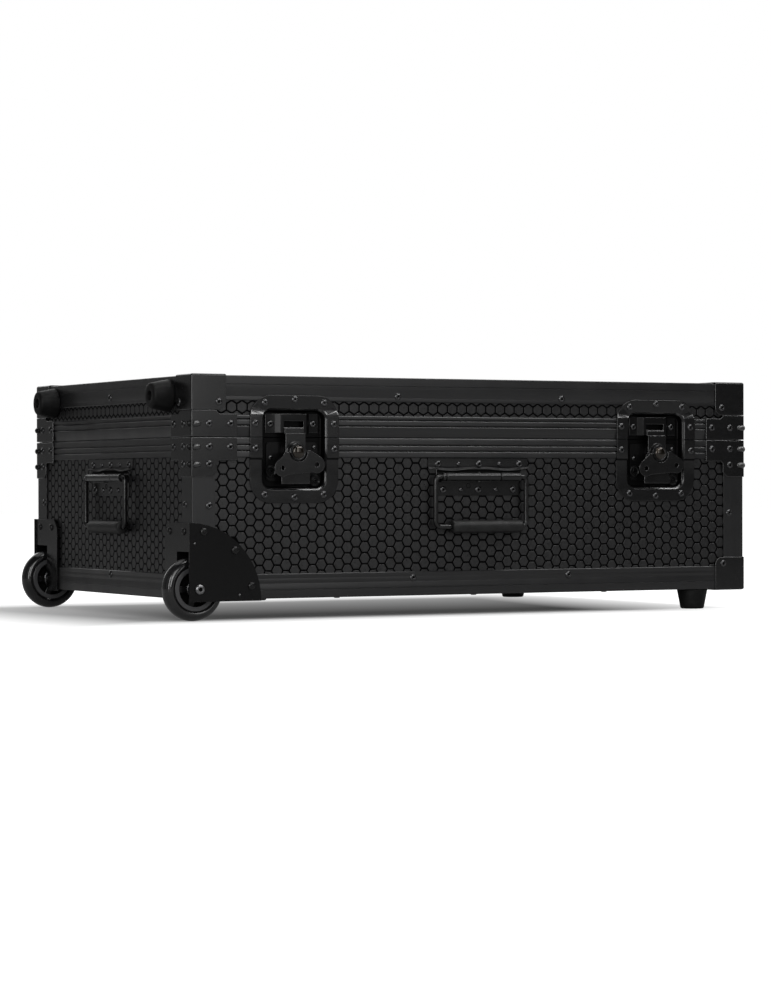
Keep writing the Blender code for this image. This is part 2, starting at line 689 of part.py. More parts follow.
def build_wheel_housing(side, label, axle):
    """Kick plate, end plate and pocket of one wheel, welded up from sheet."""
    face = FRONT if side < 0 else BACK
    sheet = HOUSING_SHEET
    kick_left = LEFT - KICK_OVERHANG
    kick_low = BOTTOM - KICK_DROP
    kick = [(kick_left, kick_low), *arc(kick_left, kick_low, KICK_RADIUS, 0, 90, 14)]
    hole = circle(axle[0], axle[2], AXLE_RADIUS + GAP, 12)
    kick_span = span(face, side, -(GAP + sheet), -GAP)
    housing = add_part(f"wheel_housing_{label}", slab("front", *kick_span, kick, hole), KICK_STEEL)
    round_corner = 5 * sheet
    depth = -side
    end_plate = [
        (-GAP, kick_low), (-GAP, BOTTOM + END_PLATE_TOP),
        (END_PLATE_REACH - round_corner, BOTTOM + END_PLATE_TOP),
        (END_PLATE_REACH, BOTTOM + END_PLATE_TOP - round_corner), (END_PLATE_REACH, kick_low),
        (POCKET_WIDTH, kick_low), (POCKET_WIDTH, POCKET_TOP), (GAP, POCKET_TOP), (GAP, kick_low),
    ]
    end_plate = [(face + depth * a, height) for a, height in end_plate]
    plate = slab("side", LEFT - GAP - sheet, LEFT - GAP, end_plate)
    cheek_outline = [
        (LEFT - GAP - sheet / 2, BOTTOM), (LEFT + HOUSING_LENGTH, BOTTOM),
        (LEFT + HOUSING_LENGTH, HOUSING_TOP), (LEFT - GAP - sheet / 2, HOUSING_TOP),
    ]
    cheek = slab("front", *span(face, side, POCKET_WIDTH, HOUSING_WIDTH), cheek_outline, hole)
    roof_span = span(face, side, -GAP - sheet / 2, POCKET_WIDTH + sheet / 2)
    roof = box(
        (LEFT - GAP - sheet / 2, roof_span[0], POCKET_TOP),
        (LEFT + HOUSING_LENGTH - sheet / 2, roof_span[1], HOUSING_TOP - sheet / 8),
    )
    wall = box(
        (LEFT + POCKET_LENGTH, roof_span[0], BOTTOM + sheet / 8),
        (LEFT + HOUSING_LENGTH - sheet / 8, roof_span[1], POCKET_TOP + sheet / 2),
    )
    combine(housing, "UNION", plate, cheek, roof, wall)


def build_wheel(side, label):
    face = FRONT if side < 0 else BACK
    middle = face - side * POCKET_WIDTH / 2
    axle = (LEFT + WHEEL_INSET, middle, WHEEL_RADIUS)
    inward = Vector((0, -side, 0))
    build_wheel_housing(side, label, axle)
    half = TYRE_WIDTH / 2
    shoulder = (WHEEL_RADIUS + TYRE_SEAT_RADIUS) / 2
    crown = arc(0, 0, 1, 78, -78, 6)
    tread = [
        (shoulder + (WHEEL_RADIUS - shoulder) * u, half * v) for u, v in crown
    ]
    seat = [(TYRE_SEAT_RADIUS, -half * 0.86), (TYRE_SEAT_RADIUS, half * 0.86)]
    add_turned(f"wheel_tyre_{label}", tread + seat, TYRE, axle, inward, 32)
    hub_radius = TYRE_SEAT_RADIUS - GAP
    windows = []
    for index in range(HUB_WINDOWS):
        turn = 360 * index / HUB_WINDOWS
        outer = arc(axle[0], axle[2], hub_radius - HUB_RIM, turn - 26, turn + 26, 6)
        inner = arc(axle[0], axle[2], HUB_BOSS_RADIUS, turn + 20, turn - 20, 3)
        windows.append(outer + inner)
    bore = circle(axle[0], axle[2], AXLE_RADIUS + GAP, 16)
    hub = slab(
        "front", middle - HUB_WIDTH / 2, middle + HUB_WIDTH / 2,
        circle(axle[0], axle[2], hub_radius, 32), *windows, bore,
    )
    add_part(f"wheel_hub_{label}", hub, HUB_PLASTIC, axle)
    outer_face = -(POCKET_WIDTH / 2 + GAP + HOUSING_SHEET + GAP)
    hub_face = HUB_WIDTH / 2 + GAP
    inner_face = POCKET_WIDTH / 2
    bolt = [
        (0, inner_face + HOUSING_SHEET), (AXLE_RADIUS, inner_face + HOUSING_SHEET),
        (AXLE_RADIUS, inner_face - GAP), (SPACER_RADIUS, inner_face - GAP),
        (SPACER_RADIUS, hub_face), (AXLE_RADIUS, hub_face), (AXLE_RADIUS, -hub_face),
        (SPACER_RADIUS, -hub_face), (SPACER_RADIUS, -inner_face), (AXLE_RADIUS, -inner_face),
        (AXLE_RADIUS, outer_face), (BOLT_HEAD_RADIUS, outer_face),
        (BOLT_HEAD_RADIUS, outer_face - BOLT_HEAD_HEIGHT * 0.35),
        (BOLT_HEAD_RADIUS * 0.75, outer_face - BOLT_HEAD_HEIGHT * 0.85),
        (0, outer_face - BOLT_HEAD_HEIGHT),
    ]
    add_turned(f"wheel_axle_{label}", bolt, BARE_STEEL, axle, inward, 16)


def add_foot(name, seat, axis):
    """A tapered rubber foot with a screw recess in its tip."""
    edge = FOOT_EDGE
    profile = [
        (0, 0), (FOOT_BASE_RADIUS - edge / 2, 0), (FOOT_BASE_RADIUS, -edge),
        (FOOT_TIP_RADIUS + edge / 4, edge - FOOT_HEIGHT), (FOOT_TIP_RADIUS - edge, -FOOT_HEIGHT),
        (FOOT_BORE_RADIUS, -FOOT_HEIGHT), (FOOT_BORE_RADIUS, FOOT_BORE_DEPTH - FOOT_HEIGHT),
        (0, FOOT_BORE_DEPTH - FOOT_HEIGHT),
    ]
    add_turned(name, profile, RUBBER, seat, axis, 24)


def build_feet():
    foot_x = RIGHT - BASE_FOOT_FROM_END
    add_foot("base_foot_front", (foot_x, FRONT + BASE_FOOT_FROM_FACE, FOOT_HEIGHT), (0, 0, 1))
    add_foot("base_foot_back", (foot_x, BACK - BASE_FOOT_FROM_FACE, FOOT_HEIGHT), (0, 0, 1))
    height = TOP - END_FOOT_BELOW_TOP
    add_foot("end_foot_front", (LEFT - GAP, FRONT + END_FOOT_FROM_FRONT, height), (1, 0, 0))
    add_foot("end_foot_back", (LEFT - GAP, BACK - END_FOOT_FROM_BACK, height), (1, 0, 0))


# Sprung handles


def handle_frame(place, turn):
    """From a handle's own axes (X along the barrel, -Y out of the case) to the world. The
    frame's origin is on the case's outer plane, at the top of the handle's plate."""
    return Matrix.Translation((*place, BASE_RIM_LOW - GAP)) @ Matrix.Rotation(turn, 4, "Z")


def build_handle(label, frame):
    pivot_z = -HANDLE_PIVOT_DROP
    pivot = frame @ Vector((0, -HANDLE_STANDOFF, pivot_z))
    plate_front = PANEL_FACE - GAP - HANDLE_SHEET
    plate_back = PANEL_FACE - GAP
    top, lower = HANDLE_TOP_WIDTH / 2, HANDLE_LOWER_WIDTH / 2
    step = HANDLE_TOP_HEIGHT + HANDLE_SHEET
    outline = [
        (-lower, -HANDLE_PLATE_HEIGHT), (lower, -HANDLE_PLATE_HEIGHT), (lower, -step),
        (top, -HANDLE_TOP_HEIGHT), (top, 0), (-top, 0), (-top, -HANDLE_TOP_HEIGHT),
        (-lower, -step),
    ]
    plate = slab("front", plate_front, plate_back, outline)
    plate.transform(frame)
    plate = add_part(f"{label}_handle_plate", plate, BLACK_STEEL)
    half_barrel = BARREL_LENGTH / 2
    crown = pivot_z + BARREL_RADIUS
    seat = plate_back - HANDLE_SHEET / 4
    curl = [
        (seat, -HANDLE_TOP_HEIGHT + HANDLE_SHEET),
        (plate_front - HANDLE_SHEET / 2, -HANDLE_TOP_HEIGHT - HANDLE_SHEET),
        *arc(-HANDLE_STANDOFF, pivot_z, BARREL_RADIUS, 90, 390, 14), (seat, crown - HANDLE_SHEET),
    ]
    bore = circle(-HANDLE_STANDOFF, pivot_z, BAIL_ROD_RADIUS + GAP, 12)
    barrel = slab("side", -half_barrel, half_barrel, curl, bore)
    barrel.transform(frame)
    combine(plate, "UNION", barrel)
    half = BAIL_WIDTH / 2
    high, low = pivot_z, pivot_z - BAIL_DROP
    half_path = [(half_barrel - BAIL_STUB, high)]
    half_path += arc(half - BAIL_TOP_BEND, high - BAIL_TOP_BEND, BAIL_TOP_BEND, 90, 0, 5)
    half_path += arc(
        half - BAIL_BOTTOM_BEND, low + BAIL_BOTTOM_BEND, BAIL_BOTTOM_BEND, 0, -90, 5
    )
    path = [(x, -HANDLE_STANDOFF, z) for x, z in half_path]
    path += [(-x, y, z) for x, y, z in reversed(path)]
    bail = bent_rod(path, BAIL_ROD_RADIUS)
    bail.transform(frame)
    add_part(f"{label}_handle_bail", bail, BLACK_STEEL, pivot)
    grip = slab(
        "side", GRIP_SHIFT - GRIP_LENGTH / 2, GRIP_SHIFT + GRIP_LENGTH / 2,
        circle(-HANDLE_STANDOFF, low, GRIP_RADIUS, 20),
        circle(-HANDLE_STANDOFF, low, BAIL_ROD_RADIUS + GAP, 12),
    )
    grip.transform(frame)
    add_part(f"{label}_handle_grip", grip, RUBBER, pivot)


def build_handles():
    quarter = math.pi / 2
    build_handle("front", handle_frame((MID_X + FRONT_HANDLE_SHIFT, FRONT), 0))
    build_handle("left", handle_frame((LEFT, MID_Y), -quarter))
    build_handle("right", handle_frame((RIGHT, MID_Y), quarter))


# Latches


def flange_depth(height):
    """How far the dish's flange lies behind the case's front plane at a height: raised over
    the rims and over the lid's edge frame, low on the panels."""
    edge_frame_low = TOP - ANGLE_LEG
    steps = [
        (BASE_RIM_LOW - GAP - JOGGLE, FLANGE_LOW), (BASE_RIM_LOW - GAP, FLANGE_RAISED),
        (LID_RIM_TOP + GAP, FLANGE_RAISED), (LID_RIM_TOP + GAP + JOGGLE, FLANGE_LOW),
        (edge_frame_low - GAP, FLANGE_RAISED),
    ]
    if height <= steps[0][0]:
        return steps[0][1]
    for (low, low_depth), (high, high_depth) in zip(steps, steps[1:]):
        if height <= high:
            return low_depth + (high_depth - low_depth) * (height - low) / (high - low)
    return steps[-1][1]


def dish_surface(centre_x, low_cut, high_cut):
    """The visible face of a latch dish between two heights, as an open surface."""
    low = SPLIT - DISH_BELOW_SPLIT
    mouth_low = SPLIT - MOUTH_BELOW_SPLIT
    half, mouth = DISH_WIDTH / 2, MOUTH_WIDTH / 2
    floor = mouth - DISH_DRAFT
    loops = [
        rounded_rectangle(-half, low, half, low + DISH_HEIGHT, DISH_ROUND),
        rounded_rectangle(-mouth, mouth_low, mouth, mouth_low + MOUTH_HEIGHT, MOUTH_ROUND),
        rounded_rectangle(
            -floor, mouth_low + DISH_DRAFT, floor, mouth_low + MOUTH_HEIGHT - DISH_DRAFT,
            MOUTH_ROUND - DISH_DRAFT,
        ),
    ]
    depths = [0, 0, DISH_FLOOR]
    bm = bmesh.new()
    rings = []
    for loop, depth in zip(loops, depths):
        points = [bm.verts.new((centre_x + x, FRONT + depth, z)) for x, z in loop]
        rings.append([bm.edges.new(pair) for pair in zip(points, points[1:] + points[:1])])
    bmesh.ops.bridge_loops(bm, edges=rings[0] + rings[1])
    bmesh.ops.bridge_loops(bm, edges=rings[1] + rings[2])
    bmesh.ops.contextual_create(bm, geom=rings[2])
    bends = [
        BASE_RIM_LOW - GAP - JOGGLE, BASE_RIM_LOW - GAP, LID_RIM_TOP + GAP,
        LID_RIM_TOP + GAP + JOGGLE, TOP - ANGLE_LEG - GAP,
    ]
    for height in bends + [low_cut, high_cut]:
        bmesh.ops.bisect_plane(
            bm, geom=bm.verts[:] + bm.edges[:] + bm.faces[:], plane_co=(0, 0, height),
            plane_no=(0, 0, 1), clear_outer=height == high_cut, clear_inner=height == low_cut,
        )
    for vertex in bm.verts:
        if vertex.co.y < FRONT + DISH_FLOOR / 2:
            vertex.co.y = FRONT + flange_depth(vertex.co.z)
    bmesh.ops.recalc_face_normals(bm, faces=bm.faces)
    deepest = max(bm.faces, key=lambda face: face.calc_center_median().y)
    if deepest.normal.y > 0:
        bmesh.ops.reverse_faces(bm, faces=bm.faces)
    return bm


def add_dish(name, centre_x, low_cut, high_cut):
    dish = add_part(name, dish_surface(centre_x, low_cut, high_cut), BLACK_STEEL)
    shell = dish.modifiers.new("sheet", "SOLIDIFY")
    shell.thickness = DISH_SHEET
    shell.offset = -1
    shell.use_even_offset = True
    return dish


def keeper_bridge(rotor_x):
    """Bent strip in the upper dish that the strap's hook holds: two tabs on the dish's
    floor and a raised bridge between them, on splayed legs."""
    half = KEEPER_WIDTH / 2
    foot = half + KEEPER_SPLAY
    sheet = KEEPER_SHEET
    floor = DISH_FLOOR + DISH_SHEET / 2
    tab_face = DISH_FLOOR - sheet
    half_outline = [
        (foot + KEEPER_TAB, floor), (foot + KEEPER_TAB, tab_face), (foot, tab_face),
        (half, KEEPER_FACE),
    ]
    inner = [(foot - sheet, floor), (half - sheet, KEEPER_FACE + sheet)]
    outline = half_outline + [(-x, y) for x, y in reversed(half_outline)]
    outline += [(-x, y) for x, y in inner] + list(reversed(inner))
    outline = [(rotor_x + x, FRONT + y) for x, y in outline]
    low = SPLIT + KEEPER_LOW
    return slab("plan", low, low + KEEPER_HEIGHT, outline)


def keeper_window(rotor_x):
    half = KEEPER_WINDOW_WIDTH / 2
    low = SPLIT + KEEPER_LOW + KEEPER_WINDOW_LOW
    return box(
        (rotor_x - half, FRONT + KEEPER_FACE - KEEPER_SHEET, low),
        (rotor_x + half, FRONT + KEEPER_FACE + 2 * KEEPER_SHEET, low + KEEPER_WINDOW_HEIGHT),
    )


def base_gusset(rotor_x):
    """Reinforcing plate on the floor of the lower dish, with two round ears."""
    floor = FRONT + DISH_FLOOR
    ear = MOUTH_ROUND * 0.7
    reach = KEEPER_WIDTH / 2 + ear
    mid = SPLIT - ROTOR_BELOW_SPLIT - STRAP_BELOW * 0.65
    outline = [
        *arc(rotor_x + reach, mid, ear, -80, 80, 5),
        (rotor_x + KEEPER_WIDTH / 2, SPLIT - ROTOR_BELOW_SPLIT * 0.35),
        (rotor_x - KEEPER_WIDTH / 2, SPLIT - ROTOR_BELOW_SPLIT * 0.35),
        *arc(rotor_x - reach, mid, ear, 100, 260, 5),
    ]
    return slab("front", floor - KEEPER_SHEET, floor + DISH_SHEET / 2, outline)


def wing_outline(rotor_x, rotor_z):
    """Bow-tie wing folded down under the dome, with a round notch for it."""
    spread, drop, lobe = WING_LOBE_SPREAD, -WING_LOBE_DROP, WING_LOBE_RADIUS
    shoulder_u = WING_NOTCH_RADIUS + 3.7 * MM
    outline = arc(0, 0, WING_NOTCH_RADIUS, 180, 360, 10)
    outline += [(WING_NOTCH_RADIUS, WING_SHEET / 2), (shoulder_u, WING_SHEET / 2)]
    outline += arc(spread, drop, lobe, 48, -124, 9)
    outline += arc(-spread, drop, lobe, -56, -228, 9)
    outline += [(-shoulder_u, WING_SHEET / 2), (-WING_NOTCH_RADIUS, WING_SHEET / 2)]
    holes = [circle(side * spread, drop, WING_HOLE_RADIUS, 10) for side in (-1, 1)]
    moved = []
    for loop in (outline, *holes):
        moved.append([(rotor_x + u, rotor_z + v) for u, v in loop])
    return moved


def turned_about(bm, centre, angle):
    """Turns a shape about the Y axis through a point, anticlockwise as seen from the front."""
    turn = Matrix.Translation(centre) @ Matrix.Rotation(-angle, 4, "Y")
    bm.transform(turn @ Matrix.Translation(-Vector(centre)))
    return bm


def hook_strap(rotor_x, rotor_z):
    """Sliding strap under the rotor's disc, and the top that steps back to hook the keeper."""
    half_top, half_bottom = STRAP_TOP_WIDTH / 2, STRAP_BOTTOM_WIDTH / 2
    low, high = rotor_z - STRAP_BELOW, rotor_z + STRAP_ABOVE
    step = high - STRAP_HOOK_HEIGHT
    shoulder = rotor_z - STRAP_SHOULDER_DROP
    outline = [
        (rotor_x - half_bottom, low), (rotor_x + half_bottom, low),
        (rotor_x + half_bottom, shoulder), (rotor_x + half_top, rotor_z + STRAP_SHEET),
        (rotor_x + half_top, step), (rotor_x - half_top, step),
        (rotor_x - half_top, rotor_z + STRAP_SHEET), (rotor_x - half_bottom, shoulder),
    ]
    window = arc(rotor_x, rotor_z, STRAP_WINDOW_RADIUS, 0, 180, 10)
    window += arc(rotor_x, rotor_z - STRAP_TRAVEL, STRAP_WINDOW_RADIUS, 180, 360, 10)
    skin = STRAP_SHEET / 4
    bend = [
        (FRONT + STRAP_FACE + skin, step - skin), (FRONT + STRAP_FACE + skin, step - STRAP_SHEET),
        (FRONT + HOOK_REAR, step - STRAP_SHEET), (FRONT + HOOK_REAR, high),
        (FRONT + HOOK_FACE, high), (FRONT + HOOK_FACE, step - skin),
    ]
    strap = slab("front", FRONT + STRAP_FACE, FRONT + STRAP_REAR, outline, window)
    hook = slab("side", rotor_x - half_top + skin, rotor_x + half_top - skin, bend)
    return strap, hook


def build_latch(label, centre_x):
    rotor_x = centre_x
    rotor_z = SPLIT - ROTOR_BELOW_SPLIT
    low = SPLIT - DISH_BELOW_SPLIT - DISH_SHEET
    base = add_dish(f"latch_{label}_base_dish", centre_x, low, BASE_RIM_TOP)
    combine(base, "UNION", base_gusset(rotor_x))
    floor = FRONT + DISH_FLOOR
    hole = rod(
        (rotor_x, floor - DISH_SHEET * 2, rotor_z), (rotor_x, floor + DISH_SHEET * 2, rotor_z),
        ROTOR_PIN_RADIUS + GAP,
    )
    combine(base, "DIFFERENCE", hole)
    lid = add_dish(f"latch_{label}_lid_dish", centre_x, LID_RIM_LOW, low + 2 * DISH_HEIGHT)
    combine(lid, "UNION", keeper_bridge(rotor_x))
    combine(lid, "DIFFERENCE", keeper_window(rotor_x))

    gusset_face = DISH_FLOOR - KEEPER_SHEET
    under_wing = WING_MID + WING_SHEET / 2 + GAP
    profile = [
        (0, -DOME_TOP), (DOME_RADIUS * 0.55, -DOME_TOP - DOME_HEIGHT * 0.15),
        (DOME_RADIUS * 0.87, -DOME_TOP - DOME_HEIGHT * 0.5), (DOME_RADIUS, -WING_FACE),
        (ROTOR_HEAD_RADIUS, -WING_FACE), (ROTOR_HEAD_RADIUS, -under_wing),
        (ROTOR_BODY_RADIUS, -under_wing), (ROTOR_BODY_RADIUS, -DISC_FACE),
        (ROTOR_DISC_RADIUS, -DISC_FACE), (ROTOR_DISC_RADIUS, -DISC_REAR),
        (ROTOR_NECK_RADIUS, -DISC_REAR), (ROTOR_NECK_RADIUS, -(HOOK_REAR + GAP)),
        (ROTOR_BACK_RADIUS, -(HOOK_REAR + GAP)), (ROTOR_BACK_RADIUS, -(gusset_face - GAP)),
        (ROTOR_PIN_RADIUS, -(gusset_face - GAP)), (ROTOR_PIN_RADIUS, -(PANEL_BACK - GAP)),
        (0, -(PANEL_BACK - GAP)),
    ]
    face_point = Vector((rotor_x, FRONT, rotor_z))
    rotor = add_turned(f"latch_{label}_rotor", profile, BRASS, face_point, (0, -1, 0), 24)
    fold_axis = Vector((rotor_x, FRONT + WING_MID, rotor_z))
    reach = WING_NOTCH_RADIUS - 4 * MM
    pin_hole = WING_PIN_RADIUS + WING_PIN_CLEARANCE
    for side in (-1, 1):
        start = fold_axis + Vector((side * (reach - GAP), 0, 0))
        end = fold_axis + Vector((side * (WING_NOTCH_RADIUS + 4 * MM), 0, 0))
        socket = turned_about(rod(start, end, pin_hole, 8), fold_axis, LATCH_TURN)
        combine(rotor, "DIFFERENCE", socket)

    outline, *holes = wing_outline(rotor_x, rotor_z)
    half_sheet = WING_SHEET / 2
    wing = slab(
        "front", fold_axis.y - half_sheet, fold_axis.y + half_sheet, outline, *holes
    )
    turned_about(wing, fold_axis, LATCH_TURN)
    wing = add_part(f"latch_{label}_wing", wing, BLACK_STEEL, fold_axis)
    for side in (-1, 1):
        start = fold_axis + Vector((side * reach, 0, 0))
        end = fold_axis + Vector((side * (WING_NOTCH_RADIUS + 2 * MM), 0, 0))
        combine(
            wing, "UNION", turned_about(rod(start, end, WING_PIN_RADIUS, 8), fold_axis, LATCH_TURN)
        )

    strap, hook = hook_strap(rotor_x, rotor_z)
    strap = add_part(f"latch_{label}_strap", strap, BLACK_STEEL)
    combine(strap, "UNION", hook)


def build_latches():
    for label, centre_x in latch_centres().items():
        build_latch(label, centre_x)


# Back hinge


def leaf_outline(upward):
    """Side view of a hinge leaf that runs into its knuckle: depth behind the case's back
    plane, height from the hinge's axis, with upward +1 for the lid's leaf."""
    meet = math.degrees(math.acos((HINGE_STANDOFF - GAP - HINGE_SHEET) / KNUCKLE_RADIUS))
    turn = arc(HINGE_STANDOFF, 0, KNUCKLE_RADIUS, 180 - meet, 0, 3)
    turn += arc(HINGE_STANDOFF, 0, KNUCKLE_RADIUS, 0, -180, 6)[1:]
    outline = [(GAP + HINGE_SHEET, HINGE_LEAF)] + turn + [(GAP, HINGE_LEAF)]
    return [(BACK + depth, SPLIT + upward * height) for depth, height in outline]


def build_hinge():
    start = MID_X - HINGE_LENGTH / 2
    step = HINGE_LENGTH / KNUCKLES
    clear = KNUCKLE_RADIUS + GAP
    for label, upward, first in (("base", -1, 0), ("lid", 1, 1)):
        near, far = SPLIT + upward * clear, SPLIT + upward * HINGE_LEAF
        leaf = box(
            (start, BACK + GAP, min(near, far)),
            (start + HINGE_LENGTH, BACK + GAP + HINGE_SHEET, max(near, far)),
        )
        leaf = add_part(f"hinge_{label}_leaf", leaf, BLACK_STEEL)
        bore = circle(BACK + HINGE_STANDOFF, SPLIT, HINGE_PIN_RADIUS + GAP, 10)
        for index in range(first, KNUCKLES, 2):
            low = start + index * step + (GAP if index else 0)
            high = start + (index + 1) * step - (GAP if index < KNUCKLES - 1 else 0)
            holes = [bore] if upward > 0 else []
            combine(leaf, "UNION", slab("side", low, high, leaf_outline(upward), *holes))
        if upward < 0:
            pin = rod(
                (start + step / 2, BACK + HINGE_STANDOFF, SPLIT),
                (start + HINGE_LENGTH - step / 2, BACK + HINGE_STANDOFF, SPLIT),
                HINGE_PIN_RADIUS, 10,
            )
            combine(leaf, "UNION", pin)


# Foam insert


def foam_pocket_boxes():
    """Low and high corners of the pockets' plan, in rows along the case."""
    left = LEFT + HOUSING_LENGTH + GAP + FOAM_RIB
    right = RIGHT - INSIDE - FOAM_RIB
    front, back = FRONT + INSIDE + FOAM_RIB, BACK - INSIDE - FOAM_RIB
    length = (right - left + FOAM_RIB) / FOAM_POCKETS_ALONG - FOAM_RIB
    width = (back - front + FOAM_RIB) / FOAM_POCKETS_ACROSS - FOAM_RIB
    for row in range(FOAM_POCKETS_ACROSS):
        for column in range(FOAM_POCKETS_ALONG):
            x = left + column * (length + FOAM_RIB)
            y = front + row * (width + FOAM_RIB)
            yield (x, y), (x + length, y + width)


def build_foam():
    low = BOTTOM + WALL + GAP + PANEL + GAP
    high = SPLIT - FOAM_TOP_BELOW_SPLIT
    block = box((LEFT + INSIDE, FRONT + INSIDE, low), (RIGHT - INSIDE, BACK - INSIDE, high))
    foam = add_part("foam_insert", block, FOAM)
    pockets = []
    for near, far in foam_pocket_boxes():
        outline = rounded_rectangle(*near, *far, FOAM_POCKET_ROUND, 3)
        pockets.append(slab("plan", low + FOAM_FLOOR, high + FOAM_FLOOR, outline))
    combine(foam, "DIFFERENCE", *wheel_pockets(), *pockets)


clear_scene()
PARTS = new_collection("lighting_fixture_flight_case")
CUTTERS = new_collection("cutters")
build_base_box()
build_lid_box()
build_corner_posts()
build_split_brackets()
build_corner_caps()
build_wheel(-1, "front")
build_wheel(1, "back")
build_feet()
build_handles()
build_latches()
build_hinge()
build_foam()
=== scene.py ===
"""Looks of the lighting fixture flight case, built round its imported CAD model."""

import json
import math

import bmesh
import bpy
from mathutils import Matrix, Vector


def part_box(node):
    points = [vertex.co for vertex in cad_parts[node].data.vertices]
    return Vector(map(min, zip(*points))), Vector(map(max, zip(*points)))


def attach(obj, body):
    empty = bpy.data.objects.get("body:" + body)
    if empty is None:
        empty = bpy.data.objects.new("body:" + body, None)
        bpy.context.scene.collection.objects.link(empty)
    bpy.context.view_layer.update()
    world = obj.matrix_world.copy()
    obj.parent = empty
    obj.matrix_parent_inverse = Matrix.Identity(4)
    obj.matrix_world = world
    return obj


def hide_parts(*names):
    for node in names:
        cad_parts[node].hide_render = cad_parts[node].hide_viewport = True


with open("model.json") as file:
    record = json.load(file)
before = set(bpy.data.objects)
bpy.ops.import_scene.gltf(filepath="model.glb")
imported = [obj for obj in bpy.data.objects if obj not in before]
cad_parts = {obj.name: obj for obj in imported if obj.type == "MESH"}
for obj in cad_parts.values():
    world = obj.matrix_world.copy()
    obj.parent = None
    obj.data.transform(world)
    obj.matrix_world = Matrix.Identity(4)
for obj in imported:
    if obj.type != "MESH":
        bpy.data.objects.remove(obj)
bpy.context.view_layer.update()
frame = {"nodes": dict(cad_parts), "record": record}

MM = 0.001

# Planes of the case, read from the CAD model, in metres
LOW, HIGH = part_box("lid_edge_frame")
LEFT, FRONT = LOW.x, LOW.y
RIGHT, BACK = HIGH.x, HIGH.y
TOP = HIGH.z
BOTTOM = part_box("bottom_edge_frame")[0].z
MID_X, MID_Y = (LEFT + RIGHT) / 2, (FRONT + BACK) / 2
LENGTH, DEPTH, HEIGHT = ((b - a) / MM for a, b in ((LEFT, RIGHT), (FRONT, BACK), (BOTTOM, TOP)))

# Heights above the underside, then how far faces stand out of the outer planes, in mm
BASE_RIM_LOW, BASE_RIM_TOP = 168.0, 191.5
LID_RIM_LOW, LID_RIM_TOP = 192.5, 218.3
SPLIT = 192.0
PANEL_FACE = -2.1
BRACKET_FACE = 1.6

# Geometry kept as lists of points and faces


class Soup:
    """Points and faces of one piece, in metres in the row frame."""

    def __init__(self):
        self.points = []
        self.faces = []
        self.finish_of = []

    def add(self, shape, matrix=Matrix(), finish=0):
        """Adds a shape: its points, its faces and, for some, the finish of each face."""
        points, faces = shape[:2]
        self.finish_of += shape[2] if len(shape) > 2 else [finish] * len(faces)
        start = len(self.points)
        self.points += [matrix @ Vector(p) for p in points]
        flip = matrix.to_3x3().determinant() < 0
        for face in faces:
            moved = [start + i for i in face]
            self.faces.append(moved[::-1] if flip else moved)
        return self

    def mesh(self, name):
        mesh = bpy.data.meshes.new(name)
        mesh.from_pydata([tuple(p) for p in self.points], [], self.faces)
        mesh.update()
        mesh.polygons.foreach_set("material_index", self.finish_of)
        return mesh


def numbered(rings, count, first=0):
    """The point numbers of a stack of rings that have count points each."""
    return [list(range(first + r * count, first + (r + 1) * count)) for r in range(rings)]


def joined(rings):
    """Faces between each ring of point numbers and the next."""
    faces = []
    for low, high in zip(rings, rings[1:]):
        for i in range(len(low)):
            j = (i + 1) % len(low)
            faces.append([low[i], low[j], high[j], high[i]])
    return faces


def closed(rings):
    """Faces between rings, and one over each end of the stack."""
    return joined(rings) + [rings[0][::-1], rings[-1]]


def lathe(profile, steps=24):
    """A shape turned about Z from (radius, height) points, in mm, listed from the bottom up
    the outer side. Points on the axis close it; else the profile is a closed loop."""
    points, rings = [], []
    for radius, height in profile:
        if radius == 0:
            rings.append([len(points)] * steps)
            points.append((0, 0, height * MM))
        else:
            rings += numbered(1, steps, len(points))
            points += [(u * MM, v * MM, height * MM) for u, v in circle(0, 0, radius, steps)]
    if profile[0][0]:
        rings.append(rings[0])
    faces = [[p for k, p in enumerate(face) if p != face[k - 1]] for face in joined(rings)]
    return points, [face for face in faces if len(face) > 2]


def both_ways(profile, steps, place):
    """A turned shape and its mirror image on the other side of its middle plane."""
    soup = Soup()
    for flip in (1, -1):
        soup.add(lathe(profile, steps), place @ Matrix.Scale(flip, 4, (0, 0, 1)))
    return soup


def prism(outline, low, high, ease=0.0):
    """A flat outline in mm, solid from low to high, with its top edge eased inwards."""
    count = len(outline)
    levels = [(outline, low), (outline, high - ease)]
    if ease:
        centre_u = sum(u for u, v in outline) / count
        centre_v = sum(v for u, v in outline) / count
        inner = []
        for u, v in outline:
            du, dv = u - centre_u, v - centre_v
            size = math.hypot(du, dv)
            inner.append((u - du / size * ease, v - dv / size * ease))
        levels.append((inner, high))
    points = [(u * MM, v * MM, h * MM) for loop, h in levels for u, v in loop]
    return points, closed(numbered(len(levels), count))


def slab(u0, v0, u1, v1, low, high, ease=0.0):
    return prism([(u0, v0), (u1, v0), (u1, v1), (u0, v1)], low, high, ease)


def tube(path, radius, sides=16):
    """A round tube along points in metres, with closed ends."""
    points = []
    normal = (path[1] - path[0]).orthogonal()
    for i, place in enumerate(path):
        tangent = (path[min(i + 1, len(path) - 1)] - path[max(i - 1, 0)]).normalized()
        normal = (normal - tangent * normal.dot(tangent)).normalized()
        side = tangent.cross(normal)
        points += [place + (normal * u + side * v) for u, v in circle(0, 0, radius, sides)]
    return points, closed(numbered(len(path), sides))


def outward_mesh(name, points, faces):
    """A mesh whose faces all look outwards."""
    mesh = Soup().add((points, faces)).mesh(name)
    bm = bmesh.new()
    bm.from_mesh(mesh)
    bmesh.ops.recalc_face_normals(bm, faces=bm.faces)
    bm.to_mesh(mesh)
    bm.free()
    return mesh


